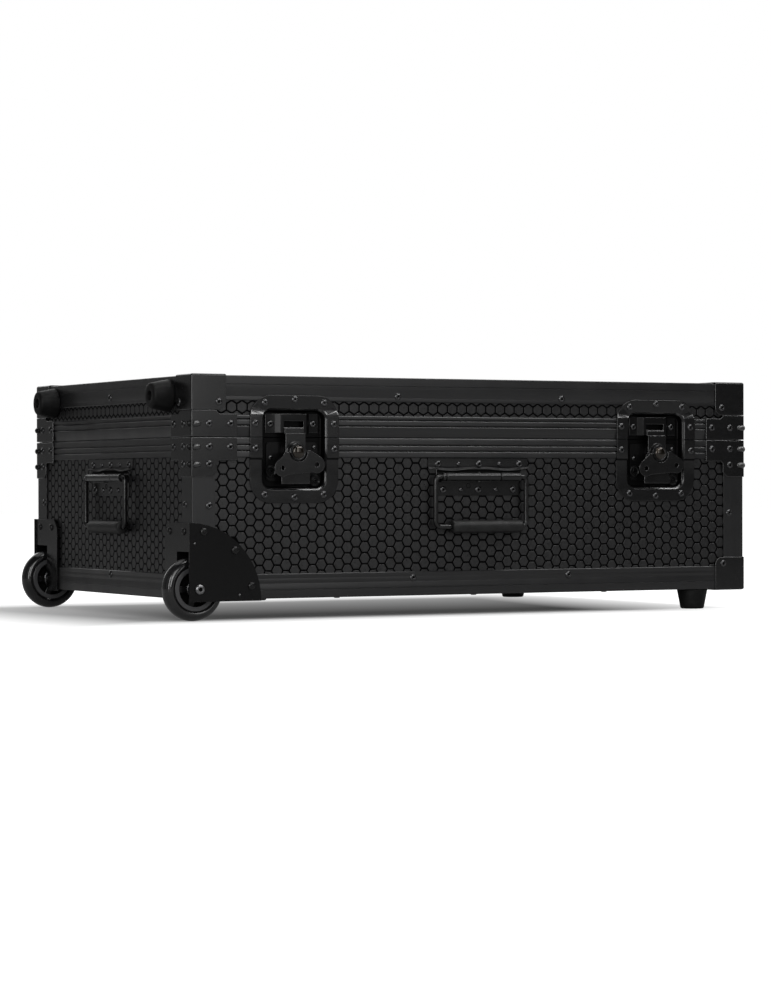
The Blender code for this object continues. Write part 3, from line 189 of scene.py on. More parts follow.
def arc(cu, cv, radius, start, end, steps):
    angles = [math.radians(start + (end - start) * i / steps) for i in range(steps + 1)]
    return [(cu + radius * math.cos(a), cv + radius * math.sin(a)) for a in angles]


def circle(cu, cv, radius, steps):
    return arc(cu, cv, radius, 0, 360, steps)[:-1]


def rounded(low_u, low_v, high_u, high_v, radius, steps=8):
    return (
        arc(high_u - radius, low_v + radius, radius, -90, 0, steps)
        + arc(high_u - radius, high_v - radius, radius, 0, 90, steps)
        + arc(low_u + radius, high_v - radius, radius, 90, 180, steps)
        + arc(low_u + radius, low_v + radius, radius, 180, 270, steps)
    )


# The six sides of the case. On each, u runs across, v up (or back), and n outwards, in mm


def moved(place, u, v, n=0.0):
    return place @ Matrix.Translation((u * MM, v * MM, n * MM))


def turned(degrees, axis):
    return Matrix.Rotation(math.radians(degrees), 4, axis)


def side_matrix(origin, u, v, n):
    columns = Matrix((u, v, n)).transposed().to_4x4()
    return Matrix.Translation(origin) @ columns


SIDES = {
    "front": side_matrix((LEFT, FRONT, BOTTOM), (1, 0, 0), (0, 0, 1), (0, -1, 0)),
    "back": side_matrix((LEFT, BACK, BOTTOM), (1, 0, 0), (0, 0, 1), (0, 1, 0)),
    "left": side_matrix((LEFT, FRONT, BOTTOM), (0, 1, 0), (0, 0, 1), (-1, 0, 0)),
    "right": side_matrix((RIGHT, FRONT, BOTTOM), (0, 1, 0), (0, 0, 1), (1, 0, 0)),
    "top": side_matrix((LEFT, FRONT, TOP), (1, 0, 0), (0, 1, 0), (0, 0, 1)),
    "under": side_matrix((LEFT, FRONT, BOTTOM), (1, 0, 0), (0, 1, 0), (0, 0, -1)),
}


WIDTHS = {"front": LENGTH, "back": LENGTH, "left": DEPTH, "right": DEPTH}


def on(side, u, v, n=0.0, turn=0.0):
    """Places a shape built about the origin on a side of the case."""
    return moved(SIDES[side], u, v, n) @ turned(turn, "Z")


def smooth(low, high, value):
    t = min(1.0, max(0.0, (value - low) / (high - low)))
    return t * t * (3 - 2 * t)


def at(x, y, z):
    """A point from mm along, into and up the case."""
    return Vector((LEFT + x * MM, FRONT + y * MM, BOTTOM + z * MM))


# Materials


class Nodes:
    """Short ways to add nodes to a node tree."""

    def __init__(self, tree):
        self.tree = tree
        self.noises = {}

    def link(self, source, target):
        self.tree.links.new(source, target)

    def give(self, socket, value):
        """Links a socket to a value that comes from a node, or sets a plain one."""
        if isinstance(value, bpy.types.NodeSocket):
            self.link(value, socket)
        else:
            socket.default_value = value

    def node(self, kind, **values):
        """A new node, with values for its inputs (a space as _) or its own settings."""
        made = self.tree.nodes.new(kind)
        for key, value in values.items():
            name = key.replace("_", " ")
            if name in made.inputs.keys():
                self.give(made.inputs[name], value)
            else:
                setattr(made, key, value)
        return made

    def coords(self, scale=(1, 1, 1)):
        place = self.node("ShaderNodeTexCoord").outputs["Object"]
        return self.node("ShaderNodeMapping", Vector=place, Scale=scale).outputs["Vector"]

    def noise(self, scale, detail=3.0, roughness=0.5, stretch=(1, 1, 1)):
        """A noise, made once for all that follows it."""
        key = (scale, detail, roughness, stretch)
        if key not in self.noises:
            made = self.node("ShaderNodeTexNoise", Vector=self.coords(stretch), Scale=scale,
                             Detail=detail, Roughness=roughness)
            self.noises[key] = made.outputs["Fac"]
        return self.noises[key]

    def cells(self, scale):
        made = self.node("ShaderNodeTexVoronoi", Vector=self.coords(), Scale=scale)
        return made.outputs["Distance"]

    def ramp(self, value, low, high, out_low=0.0, out_high=1.0, **settings):
        return self.node("ShaderNodeMapRange", Value=value, From_Min=low, From_Max=high,
                         To_Min=out_low, To_Max=out_high, **settings).outputs["Result"]

    def mix(self, factor, first, second):
        """A colour between two colours."""
        made = self.node("ShaderNodeMix", data_type="RGBA", Factor=factor)
        for key, colour in (("A", first), ("B", second)):
            socket = [s for s in made.inputs if s.name == key and s.type == "RGBA"][0]
            linked = isinstance(colour, bpy.types.NodeSocket)
            self.give(socket, colour if linked else (*colour, 1))
        return [s for s in made.outputs if s.type == "RGBA"][0]

    def math(self, operation, first, second=0.5):
        made = self.node("ShaderNodeMath", operation=operation)
        for socket, value in zip(made.inputs, (first, second)):
            self.give(socket, value)
        return made.outputs["Value"]

    def beyond(self, value, low, high):
        """How far a value lies outside a range, below 0 inside it."""
        off_middle = self.math("ABSOLUTE", self.math("SUBTRACT", value, (low + high) / 2))
        return self.math("SUBTRACT", off_middle, (high - low) / 2)

    def bump(self, height, distance, strength, **under):
        return self.node("ShaderNodeBump", Height=height, Distance=distance, Strength=strength,
                         **under).outputs["Normal"]


class Look(Nodes):
    """A Principled material."""

    def __init__(self, name, colour, roughness, metallic=0.0, specular=0.5):
        self.material = bpy.data.materials.new(name)
        self.material.use_nodes = True
        super().__init__(self.material.node_tree)
        self.shader = self.tree.nodes["Principled BSDF"]
        self.set("Base Color", (*colour, 1))
        self.set("Roughness", roughness)
        self.set("Metallic", metallic)
        self.set("Specular IOR Level", specular)
        self.material.diffuse_color = (*colour, 1)

    def set(self, socket, value):
        self.give(self.shader.inputs[socket], value)

    def coat(self, weight, roughness, ior=1.5):
        self.set("Coat Weight", weight)
        self.set("Coat Roughness", roughness)
        self.set("Coat IOR", ior)

    def finish(self, colour, roughness, normal=None):
        self.set("Base Color", colour)
        self.set("Roughness", roughness)
        if normal is not None:
            self.set("Normal", normal)
        return self.material


def grey(level, blue=None):
    return (level, level, blue or level)


def marked_look(name, dark, pale, spots, wear, bump=None, window=(0.3, 0.7), coat=None,
                metallic=0.0, specular=0.5):
    """A finish that follows noises, each given as the arguments of noise(): spots for its
    colour, wear as (roughness, roughness, noise) and bump as (mm, strength, noise)."""
    look = Look(name, [(a + b) / 2 for a, b in zip(dark, pale)], wear[0], metallic, specular)
    if coat:
        look.coat(*coat)
    colour = look.mix(look.ramp(look.noise(*spots), *window), dark, pale)
    roughness = look.ramp(look.noise(*wear[2]), 0.3, 0.7, *wear[:2])
    if not bump:
        return look.finish(colour, roughness)
    distance, strength, grain = bump
    return look.finish(colour, roughness, look.bump(look.noise(*grain), distance * MM, strength))


def anodised_look(name, upright):
    """Black anodised aluminium with fine drawing lines along each length."""
    look = Look(name, grey(0.008, 0.0085), 0.36, 0.0, 0.45)
    look.coat(0.12, 0.15)
    if upright:
        streaks = look.noise(1.0, 2.0, stretch=(3500, 3500, 6))
    else:
        place = look.node("ShaderNodeTexCoord").outputs["Object"]
        split = look.node("ShaderNodeSeparateXYZ", Vector=place).outputs
        lengthways = look.math("GREATER_THAN", look.beyond(split["Y"], FRONT, BACK),
                               look.beyond(split["X"], LEFT, RIGHT))
        lines_x = look.noise(1.0, 2.0, stretch=(6, 3500, 3500))
        lines_y = look.noise(1.0, 2.0, stretch=(3500, 6, 3500))
        streaks = look.node("ShaderNodeMix", Factor=lengthways, A=lines_y,
                            B=lines_x).outputs["Result"]
    colour = look.mix(look.ramp(streaks, 0.35, 0.65), grey(0.0035, 0.0038), grey(0.0075, 0.008))
    return look.finish(colour, look.ramp(look.noise(28, 4.0), 0.3, 0.7, 0.30, 0.40),
                       look.bump(streaks, 0.012 * MM, 0.7))


def laminate_look(name, base, specular):
    """Hexagon laminate: matt phenolic film with a fine pebbled grain."""
    grain = (480, 3.0, 0.6)
    return marked_look(name, [c * 0.4 for c in base], [c * 1.9 for c in base], grain,
                       (0.27, 0.45, grain), (0.16, 0.9, grain), specular=specular)


def steel_look(name, base, low, high, specular, sheen):
    """Black zinc plated steel: satin, with faint rolling marks and handling scuffs."""
    return marked_look(name, grey(base * 0.8, base * 0.84), grey(base * 1.6), (170, 6.0, 0.72),
                       (low, high, (60, 5.0, 0.65, (1, 1, 2.4))), (0.012, 0.4, (900,)),
                       window=(0.60, 0.74), coat=(sheen, 0.14), specular=specular)


def rubber_look(name, base, roughness, specular):
    """Dusty rubber with a fine grain."""
    grain = (1800, 4.0)
    return marked_look(name, grey(base * 0.8), grey(base * 2.0), (90, 4.0, 0.6),
                       (roughness - 0.1, roughness + 0.1, grain), (0.06, 0.6, grain),
                       window=(0.45, 0.75), specular=specular)


def hole_shade_look():
    """Painted shade for the inside of a rivet's or bolt's hole and other recesses: near-black,
    matt, a little uneven.
    """
    look = Look("hole_painted_shade", grey(0.002), 0.8, 0.0, 0.05)
    return look.finish(look.mix(look.noise(900), grey(0.001), grey(0.004)), 0.8)


def foam_look():
    """Closed-cell polyethylene foam: fine cut cells."""
    look = Look("foam_finish", grey(0.022, 0.024), 0.9, 0.0, 0.3)
    look.set("Sheen Weight", 0.15)
    cells = look.cells(900)
    coarse = look.noise(160, 4.0)
    colour = look.mix(look.ramp(cells, 0.1, 0.6), grey(0.030, 0.033), grey(0.012, 0.013))
    under = look.bump(coarse, 0.4 * MM, 0.4)
    return look.finish(colour, look.ramp(coarse, 0.3, 0.7, 0.82, 0.98),
                       look.bump(cells, 0.25 * MM, 0.8, Normal=under))


RING_FINISH = anodised_look("anodised_ring_finish", False)
POST_FINISH = anodised_look("anodised_post_finish", True)
HEX_FINISH = laminate_look("hexagon_finish", grey(0.005, 0.0053), 0.5)
# Painted shade in the grooves between the hexagons: a far darker, almost unreflecting copy of the
# laminate
GROOVE_SHADE_FINISH = laminate_look("groove_painted_shade", grey(0.001, 0.0011), 0.02)
STEEL_FINISH = steel_look("black_steel_finish", 0.004, 0.18, 0.28, 0.32, 0.25)
KICK_FINISH = steel_look("kick_plate_finish", 0.003, 0.30, 0.42, 0.08, 0.2)
# Rubbed steel for worn edges and beads, laid also on faces that catch the lamps from above as a
# painted highlight: paler and glossier than the black steel
RUBBED_AND_HIGHLIGHT_FINISH = steel_look("rubbed_steel_and_painted_highlight", 0.006, 0.20, 0.30, 0.6, 0.7)
# Painted shade for the inside of the latch pans and the lower step of their flanges: a darker,
# duller copy of the black steel
PAN_SHADE_FINISH = steel_look("latch_pan_painted_shade", 0.0012, 0.40, 0.50, 0.05, 0.06)
RUBBER_FINISH = rubber_look("rubber_finish", 0.003, 0.5, 0.15)
GRIP_FINISH = rubber_look("grip_finish", 0.006, 0.46, 0.28)
RIVET_FINISH = marked_look(
    "rivet_finish", grey(0.035, 0.036), grey(0.07, 0.072), (500,), (0.16, 0.26, (500,)),
    (0.03, 0.5, (500,)), (0.35, 0.65), coat=(0.5, 0.08), metallic=1.0)
BARE_FINISH = marked_look(
    "bare_steel_finish", grey(0.15, 0.155), grey(0.27, 0.275), (300, 4.0),
    (0.2, 0.38, (300, 4.0)), (0.02, 0.4, (300, 4.0)), metallic=1.0)
BOLT_FINISH = marked_look(
    "bolt_finish", grey(0.002), grey(0.005), (500,), (0.18, 0.30, (500,)), window=(0.0, 1.0),
    coat=(0.2, 0.08), specular=0.25)
NYLON_FINISH = marked_look(
    "nylon_finish", grey(0.022, 0.023), grey(0.038, 0.040), (2000,), (0.36, 0.5, (2000,)),
    (0.03, 0.5, (2000,)))
# Plated dome, rubbed through in spots to a paler metal
BRASS_FINISH = marked_look(
    "brass_finish", (0.004, 0.003, 0.002), (0.028, 0.019, 0.010), (420, 4.0, 0.6),
    (0.2, 0.11, (420, 4.0, 0.6)), (0.1, 0.6, (700, 3.0, 0.6)), (0.35, 0.65), (0.8, 0.04), 0.85)
TYRE_FINISH = marked_look(
    "tyre_finish", grey(0.003, 0.0032), grey(0.007, 0.0075), (70,), (0.20, 0.30, (70,)),
    (0.01, 0.3, (1500, 2.0)), coat=(0.5, 0.08, 1.6), specular=0.3)
# Near-black painted shade, for holes, the handle's hollow and the wheel's core
HOLE_SHADE_FINISH = hole_shade_look()
FOAM_FINISH = foam_look()
RIVETED = (RIVET_FINISH, HOLE_SHADE_FINISH)


# Pieces

BODY_OF = {member: body for body, members in frame["record"]["behaviour"]["bodies"].items()
           for member in members}
SLOT_OF = {entry["node"]: entry["material_slot"] for entry in frame["record"]["subparts"]}


def placed(name, data):
    """A new object in the scene."""
    made = bpy.data.objects.new(name, data)
    bpy.context.scene.collection.objects.link(made)
    return made


def piece(name, shape, finish, body, slot, sharp=30, bevel=0.0, segments=2):
    """Turns a mesh, or points and faces, into a piece that rides on a body."""
    mesh = shape.mesh(name) if isinstance(shape, Soup) else shape
    painted = [polygon.material_index for polygon in mesh.polygons]
    mesh.materials.clear()
    made = placed(name, mesh)
    for item in finish if isinstance(finish, tuple) else (finish,):
        mesh.materials.append(item)
    if isinstance(finish, tuple):
        mesh.polygons.foreach_set("material_index", painted)
    mesh.shade_smooth()
    mesh.set_sharp_from_angle(angle=math.radians(sharp))
    if bevel:
        edges = ease_edges(made, bevel, segments, 35)
        if finish in (STEEL_FINISH, KICK_FINISH) or isinstance(finish, tuple):
            mesh.materials.append(RUBBED_AND_HIGHLIGHT_FINISH)
            edges.material = len(mesh.materials) - 1
        flatten_shading(made)
    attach(made, body)
    return made


def ease_edges(made, width, segments, angle):
    """Rounds the edges that are sharper than an angle."""
    edges = made.modifiers.new("edges", "BEVEL")
    edges.width = width * MM
    edges.segments = segments
    edges.limit_method = "ANGLE"
    edges.angle_limit = math.radians(angle)
    return edges


def flatten_shading(made):
    """Lets each large flat face keep its own shading up to its edges."""
    shading = made.modifiers.new("shading", "WEIGHTED_NORMAL")
    shading.mode = "FACE_AREA"
    shading.weight = 50
    shading.thresh = 0.01
    shading.keep_sharp = False


def steel_parts(name, soup, body="base", finish=RIVETED, sharp=50, **edges):
    """Black steel parts with no CAD node of their own, such as rivets."""
    piece(name, soup, finish, body, "black_steel", sharp, **edges)


def stand_in(node, shape, finish, **edges):
    """A finished piece in the place of a CAD node, on its body."""
    made = piece(f"{node}_finished", shape, finish, BODY_OF[node], SLOT_OF[node], **edges)
    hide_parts(node)
    return made


WELD = 0.002 * MM
CAD_ROUND = 1.25 * MM


def round_corner(bm, width, also_level):
    """Rounds the outer edges of a pressing that wraps a corner of the case."""
    middle = (MID_X, MID_Y, BOTTOM + HEIGHT / 2 * MM)
    planes = []
    for axis in range(3 if also_level else 2):
        values = [v.co[axis] for v in bm.verts]
        side = 1 if sum(values) / len(values) > middle[axis] else -1
        planes.append((axis, side, max(value * side for value in values)))
    # The CAD's smaller rounding of the upright corner is taken back to a sharp edge first
    for v in bm.verts:
        if all(reach - v.co[axis] * side < CAD_ROUND for axis, side, reach in planes[:2]):
            for axis, side, reach in planes[:2]:
                v.co[axis] = reach * side
    bmesh.ops.remove_doubles(bm, verts=bm.verts, dist=WELD)

    def planes_of(edge):
        return sum(all(abs(v.co[axis] * side - reach) < 0.05 * MM for v in edge.verts)
                   for axis, side, reach in planes)

    edges = [edge for edge in bm.edges if planes_of(edge) >= 2]
    bmesh.ops.bevel(bm, geom=edges, offset=width * MM, segments=5, profile=0.5,
                    affect="EDGES", clamp_overlap=False)


def cleaned(node, corner=0.0, also_level=False):
    """A welded copy of a CAD node's mesh, with its flat faces joined up."""
    bm = bmesh.new()
    bm.from_mesh(frame["nodes"][node].data)
    bmesh.ops.remove_doubles(bm, verts=bm.verts, dist=WELD)
    bmesh.ops.dissolve_limit(
        bm, angle_limit=math.radians(0.6), verts=bm.verts, edges=bm.edges
    )
    if corner:
        round_corner(bm, corner, also_level)
    mesh = bpy.data.meshes.new(f"{node}_finished")
    bm.to_mesh(mesh)
    bm.free()
    return mesh


def refined(node, bevel, finish, segments=2, corner=0.0, also_level=False):
    """A copy of a CAD node with eased edges, which stands in for it."""
    return stand_in(node, cleaned(node, corner, also_level), finish, bevel=bevel,
                    segments=segments)


# Camera


def build_camera():
    """Stands where the photograph was taken from, as solved from the case's own edges."""
    yaw, pitch, roll = (math.radians(a) for a in (27.762, -0.291, -0.127))
    forward = Vector((
        math.sin(yaw) * math.cos(pitch), math.cos(yaw) * math.cos(pitch), math.sin(pitch)
    ))
    right = Vector((math.cos(yaw), -math.sin(yaw), 0))
    up = right.cross(forward)
    across = right * math.cos(roll) + up * math.sin(roll)
    over = up * math.cos(roll) - right * math.sin(roll)
    camera = placed("camera", bpy.data.cameras.new("camera"))
    turn = Matrix((across, over, -forward)).transposed().to_4x4()
    camera.matrix_world = Matrix.Translation(at(-1406.49, -3159.08, 134.82)) @ turn
    camera.data.sensor_width = 36
    camera.data.lens = 105.917
    camera.data.clip_end = 50
    bpy.context.scene.camera = camera


# Panels and their hexagons

HEX_PITCH = 13.55
HEX_GROOVE = 2.1
HEX_HEIGHT = 0.45
HEX_EASE = 0.22
HEX_MARGIN = 7
HEX_COLUMN = HEX_PITCH * math.cos(math.radians(30))
PANEL_EDGE = 11.0
LATCHES = {"left": 134.0, "right": LENGTH - 134.0}
LATCH_LOW, LATCH_HIGH = 130, 226
HOUSING = 56.0
HOUSING_DEEP = 43.0
HOUSING_HIGH = 62.0


def hexagon(pointed):
    """One raised hexagon, flat-topped or pointed."""
    flat = (HEX_PITCH - HEX_GROOVE) / 2
    start = 30 if pointed else 0
    points = []
    for inset, height in ((0.0, -0.05), (0.0, HEX_HEIGHT - 0.2), (HEX_EASE, HEX_HEIGHT)):
        radius = (flat - inset) / math.cos(math.radians(30))
        points += [(u * MM, v * MM, height * MM)
                   for u, v in arc(0, 0, radius, start, start + 360, 6)[:-1]]
    rings = numbered(3, 6)
    return points, [rings[-1]] + joined(rings)


def lay_hexagons(soup, side, box, phase, blocked=(), pointed=False):
    """Covers a box (low u, low v, high u, high v) with hexagons, apart from blocked boxes."""
    shape = hexagon(pointed)
    column, row = (HEX_PITCH, HEX_COLUMN) if pointed else (HEX_COLUMN, HEX_PITCH)
    low_u, low_v, high_u, high_v = box
    for i in range(math.ceil((low_u - phase[0]) / column) - 1,
                   math.floor((high_u - phase[0]) / column) + 2):
        for j in range(math.floor((low_v - phase[1]) / row) - 1,
                       math.ceil((high_v - phase[1]) / row) + 1):
            # Every second row or column is set over by half a hexagon
            u = phase[0] + i * column + (column / 2 if pointed and j % 2 else 0)
            v = phase[1] + j * row + (row / 2 if i % 2 and not pointed else 0)
            inside = low_u <= u <= high_u and low_v <= v <= high_v
            if inside and not any(a - HEX_MARGIN < u < c + HEX_MARGIN
                                  and b - HEX_MARGIN < v < d + HEX_MARGIN
                                  for a, b, c, d in blocked):
                soup.add(shape, on(side, u, v, PANEL_FACE))


def build_panels():
    # The panels show only in the grooves between the hexagons, and take the painted groove shade
    for node in ("base_walls", "base_bottom_panel", "lid_walls", "lid_top_panel"):
        frame["nodes"][node].data.materials.clear()
        frame["nodes"][node].data.materials.append(GROOVE_SHADE_FINISH)
    mouths = [(c - 42.0, LATCH_LOW, c + 42.0, LATCH_HIGH) for c in LATCHES.values()]
    pocket = (0.0, 0.0, HOUSING, HOUSING_HIGH)
    end_pockets = [(0.0, 0.0, HOUSING_DEEP, HOUSING_HIGH),
                   (DEPTH - HOUSING_DEEP, 0.0, DEPTH, HOUSING_HIGH)]
    corners = [(0.0, 0.0, HOUSING, HOUSING_DEEP), (0.0, DEPTH - HOUSING_DEEP, HOUSING, DEPTH)]
    far, deep = LENGTH - PANEL_EDGE, DEPTH - PANEL_EDGE
    level = (PANEL_EDGE, PANEL_EDGE, far, deep)
    base, lid = Soup(), Soup()
    for side, reach, phase, blocked in (
        ("front", far, 146.6, mouths + [pocket]), ("back", far, 146.6, [pocket]),
        ("left", deep, 250.0, end_pockets), ("right", deep, 250.0, []),
    ):
        lay_hexagons(base, side, (PANEL_EDGE, PANEL_EDGE, reach, 180.0), (phase, 107.4), blocked)
    lay_hexagons(base, "under", level, (390.0, 250.0), corners)
    for side, reach, phase, blocked in (
        ("front", far, 52.3, mouths), ("back", far, 52.3, []),
        ("left", deep, 250.0, []), ("right", deep, 250.0, []),
    ):
        lay_hexagons(lid, side, (PANEL_EDGE, 208.0, reach, 248.0), (phase, 227.7), blocked, True)
    lay_hexagons(lid, "top", level, (390.0, 250.0))
    for body, soup in (("base", base), ("lid", lid)):
        piece(f"{body}_hexagon_face", soup, HEX_FINISH, body, "hexagon_laminate", sharp=20)


# Extrusions

CORNERS = ("front_left", "front_right", "back_left", "back_right")


def ring_mesh(name, section):
    """Sweeps (depth, height) points in mm round the case with mitred corners."""
    points = [at(x, y, height) for depth, height in section
              for x, y in ((depth, depth), (LENGTH - depth, depth),
                           (LENGTH - depth, DEPTH - depth), (depth, DEPTH - depth))]
    rings = numbered(len(section), 4)
    return outward_mesh(name, points, joined(rings + rings[:1]))


def cut(mesh, name, boxes):
    """Cuts boxes, given in case mm, out of a mesh and returns the new mesh."""
    body = placed("cut_body", mesh)
    tools = []
    for (x0, y0, z0), (x1, y1, z1) in boxes:
        box = slab(x0, y0, x1, y1, z0, z1)
        soup = Soup().add(box, Matrix.Translation((LEFT, FRONT, BOTTOM)))
        tools.append(placed("cut_tool", soup.mesh("cut_tool")))
        modifier = body.modifiers.new("cut", "BOOLEAN")
        modifier.object = tools[-1]
        modifier.operation = "DIFFERENCE"
        modifier.solver = "EXACT"
    evaluated = body.evaluated_get(bpy.context.evaluated_depsgraph_get())
    result = bpy.data.meshes.new_from_object(evaluated)
    result.name = name
    for item in [body, *tools]:
        old = item.data
        bpy.data.objects.remove(item)
        bpy.data.meshes.remove(old)
    return result


def angle_section(outer, inward, lines):
    """Single angle with a rounded corner and lips, from its outer corner inwards. Each line
    drawn along it is a groove with a height, a depth and half a width."""
    leg, wall, bend, lip = 29.5, 1.8, 1.3, 0.8
    points = arc(bend, bend, bend, 270, 180, 5)
    for height, depth, half in lines:
        points += [(0, height - half), (depth, height - half * 0.3),
                   (depth, height + half * 0.3), (0, height + half)]
    points += [(0, leg - lip), (lip, leg), (wall - lip, leg), (wall, leg - lip), (wall, wall),
               (leg - lip, wall), (leg, wall - lip), (leg, lip), (leg - lip, 0)]
    return [(d, outer + inward * h) for d, h in points]


def grooves(*heights):
    """V grooves, each with an overhang above and a slope that faces up below."""
    return [(depth, height - down) for height in heights for depth, down in
            ((0.0, 0.0), (0.2, 0.15), (1.4, 0.3), (1.5, 0.6), (0.15, 2.4), (0.0, 2.7))]


def build_rim(node, section):
    """A rim with its latch openings; the up-facing slopes of the long sides get the second, rubbed
    finish as a painted highlight.
    """
    openings = [((c - 41.95, -20, LATCH_LOW), (c + 41.95, 11.25, LATCH_HIGH))
                for c in LATCHES.values()]
    mesh = cut(ring_mesh(node, section), f"{node}_finished", openings)
    # Up-facing slopes on the front and back take the rubbed finish: painted highlight
    for polygon in mesh.polygons:
        across, along, up = polygon.normal
        polygon.material_index = int(0.3 < up < 0.9 and abs(along) > abs(across))
    stand_in(node, mesh, (RING_FINISH, RUBBED_AND_HIGHLIGHT_FINISH), sharp=40)


def build_extrusions():
    lines = [(10.3, 0.35, 0.45), (17.9, 0.12, 0.3), (23.9, 0.15, 0.7)]
    pockets = [((-20, low, -40), (55.0, high, 59.2))
               for low, high in ((-20, 41.5), (DEPTH - 41.5, DEPTH + 20))]
    bottom = cut(ring_mesh("bottom", angle_section(0, 1, lines)), "bottom_edge", pockets)
    stand_in("bottom_edge_frame", bottom, RING_FINISH)
    straps = Soup()
    outline = [(3.6, 41.6), (54.9, 41.6), (54.9, 3.6), (70.7, 3.6), (70.7, 57.5), (3.6, 57.5)]
    for strap in (outline, [(u, DEPTH - v) for u, v in reversed(outline)]):
        straps.add(prism(strap, -1.6, -0.25), SIDES["under"])
    piece("pocket_straps", straps, RING_FINISH, "base", "anodised_aluminium")
    lines = [(10.3, 0.35, 0.45), (24.6, 0.10, 0.3)]
    stand_in("lid_edge_frame", ring_mesh("top_edge", angle_section(HEIGHT, -1, lines)),
             RING_FINISH)

    low, t = BASE_RIM_LOW, BASE_RIM_TOP
    build_rim("base_rim_frame", [
        (0.3, low + 0.4), (0.75, low), (1.8, low), (1.8, t - 3.2),
        (11.4, t - 3.2), (11.4, t - 13.5), (11.6, t - 13.7), (12.7, t - 13.7), (12.9, t - 13.5),
        (12.9, t - 0.3), (12.6, t), (7.0, t), (6.4, t + 3.2), (6.1, t + 3.5), (4.9, t + 3.5),
        (4.6, t + 3.2), (4.0, t + 0.7), (1.8, t + 0.7), (1.6, t + 0.5), (1.6, t),
        (0.9, t), (0.35, t - 0.2), (0.05, t - 0.7), *grooves(184.3, 177.2), (0.0, low + 0.7),
    ])
    b, high = LID_RIM_LOW, LID_RIM_TOP
    build_rim("lid_rim_frame", [
        (1.8, b), (3.0, b), (3.0, b + 3.5), (8.0, b + 3.5), (8.0, b), (12.6, b), (12.9, b + 0.3),
        (12.9, b + 13.3), (12.7, b + 13.5), (11.6, b + 13.5), (11.4, b + 13.3), (11.4, b + 6.8),
        (1.8, b + 6.8), (1.8, high), (0.75, high), (0.2, high - 0.4), (0.0, high - 0.9),
        *grooves(214.7, 207.4), (0.1, 203.8), (1.4, b + 0.5),
    ])
    for corner in CORNERS:
        refined(f"corner_post_{corner}", 0.5, POST_FINISH, corner=1.5)


# Rivets and screws


def holed(shape, radius):
    """Marks the faces within a radius of the axis as the inside of a hole, to take the painted
    shade of the second finish.
    """
    points, faces = shape
    inside = [math.hypot(x, y) < radius * MM for x, y, z in points]
    return points, faces, [int(all(inside[i] for i in face)) for face in faces]


RIVET = holed(lathe([
    (4.4, -0.3), (4.4, 0.2), (4.25, 0.55), (3.85, 0.95), (3.2, 1.35), (2.5, 1.6), (1.95, 1.65),
    (1.6, 1.5), (1.45, 1.1), (1.4, 0.1), (0, 0.0),
], 24), 1.62)
SMALL_RIVET = lathe([
    (3.0, -0.3), (3.0, 0.1), (2.85, 0.5), (2.45, 1.1), (1.8, 1.55), (0.95, 1.8), (0, 1.85),
], 20)
DOT = lathe([(1.9, -0.3), (1.9, 0.1), (1.6, 0.6), (0.9, 0.95), (0, 1.05)], 14)


def screw_head(radius, height, socket):
    """A button head with a hexagon socket."""
    steps = 24
    profile = [(radius, -0.3), (radius, height * 0.18), (radius * 0.96, height * 0.45),
               (radius * 0.82, height * 0.78), (radius * 0.62, height * 0.97),
               (socket * 1.08, height)]
    points, faces = lathe(profile + [(0, height)], steps)
    points, faces = points[:-1], faces[:-steps]
    rim = len(points) - steps
    for level in (height, height * 0.25):
        for i in range(steps):
            a = math.tau * i / steps
            corner = (a + math.radians(30)) % math.radians(60) - math.radians(30)
            reach = socket * 0.87 / math.cos(corner)
            points.append((reach * math.cos(a) * MM, reach * math.sin(a) * MM, level * MM))
    rings = numbered(3, steps, rim)
    return holed((points, faces + joined(rings) + rings[-1:]), socket * 1.02)


BOLT = screw_head(4.9, 2.7, 1.9)
SCREW = screw_head(4.4, 2.2, 1.7)


def scatter(soup, shape, side, places, n=0.0):
    for k, (u, v) in enumerate(places):
        soup.add(shape, on(side, u, v, n, turn=37 * k))


def build_rivets():
    base, lid = Soup(), Soup()
    for side, width in WIDTHS.items():
        for start, way in ((0, 1), (width, -1)):
            for soup, spots in ((lid, [(21.3, 207.6), (49.2, 207.6)]), (lid, [(34.0, 233.5)]),
                                (base, [(21.5, 180.5), (48.8, 180.2), (21.5, 159.9)])):
                spots = [(start + way * u, v) for u, v in spots]
                scatter(soup, RIVET, side, spots, BRACKET_FACE)
    for soup, side, spots in (
        (base, "front", [(22, 111), (LENGTH - 22, 98)]),
        (base, "back", [(22, 111), (LENGTH - 22, 98)]),
        (base, "left", [(20, 112.5), (DEPTH - 23, 112.5)]),
        (base, "right", [(22, 98), (DEPTH - 22, 98)]),
        (lid, "front", [(273.9, 242.2), (506.0, 242.2)]),
        (lid, "back", [(150, 242.2), (390, 242.2), (630, 242.2)]),
        (base, "front", [(294.2, 22), (515.4, 22)]),
        (base, "back", [(273.9, 22), (506, 22)]),
        (lid, "left", [(DEPTH / 2, 244.4)]),
        (lid, "right", [(DEPTH / 2, 244.4)]),
        (base, "left", [(DEPTH / 2, 24.2)]),
        (base, "right", [(DEPTH / 2, 24.2)]),
    ):
        scatter(soup, RIVET, side, spots)
    for side, spots in (("front", [(LENGTH - 32, 32.8)]), ("back", [(LENGTH - 32, 32.8)]),
                        ("right", [(32, 32.8), (DEPTH - 32, 32.8)])):
        scatter(base, RIVET, side, spots, BRACKET_FACE)
    spots = [(u, v) for u in (200, 390, 580) for v in (20, DEPTH - 20)]
    spots += [(u, DEPTH / 2) for u in (20, LENGTH - 20)]
    scatter(lid, RIVET, "top", spots, -1.1)
    scatter(base, RIVET, "under", spots)
    steel_parts("base_rivets", base)
    steel_parts("lid_rivets", lid, "lid")


# Corner hardware


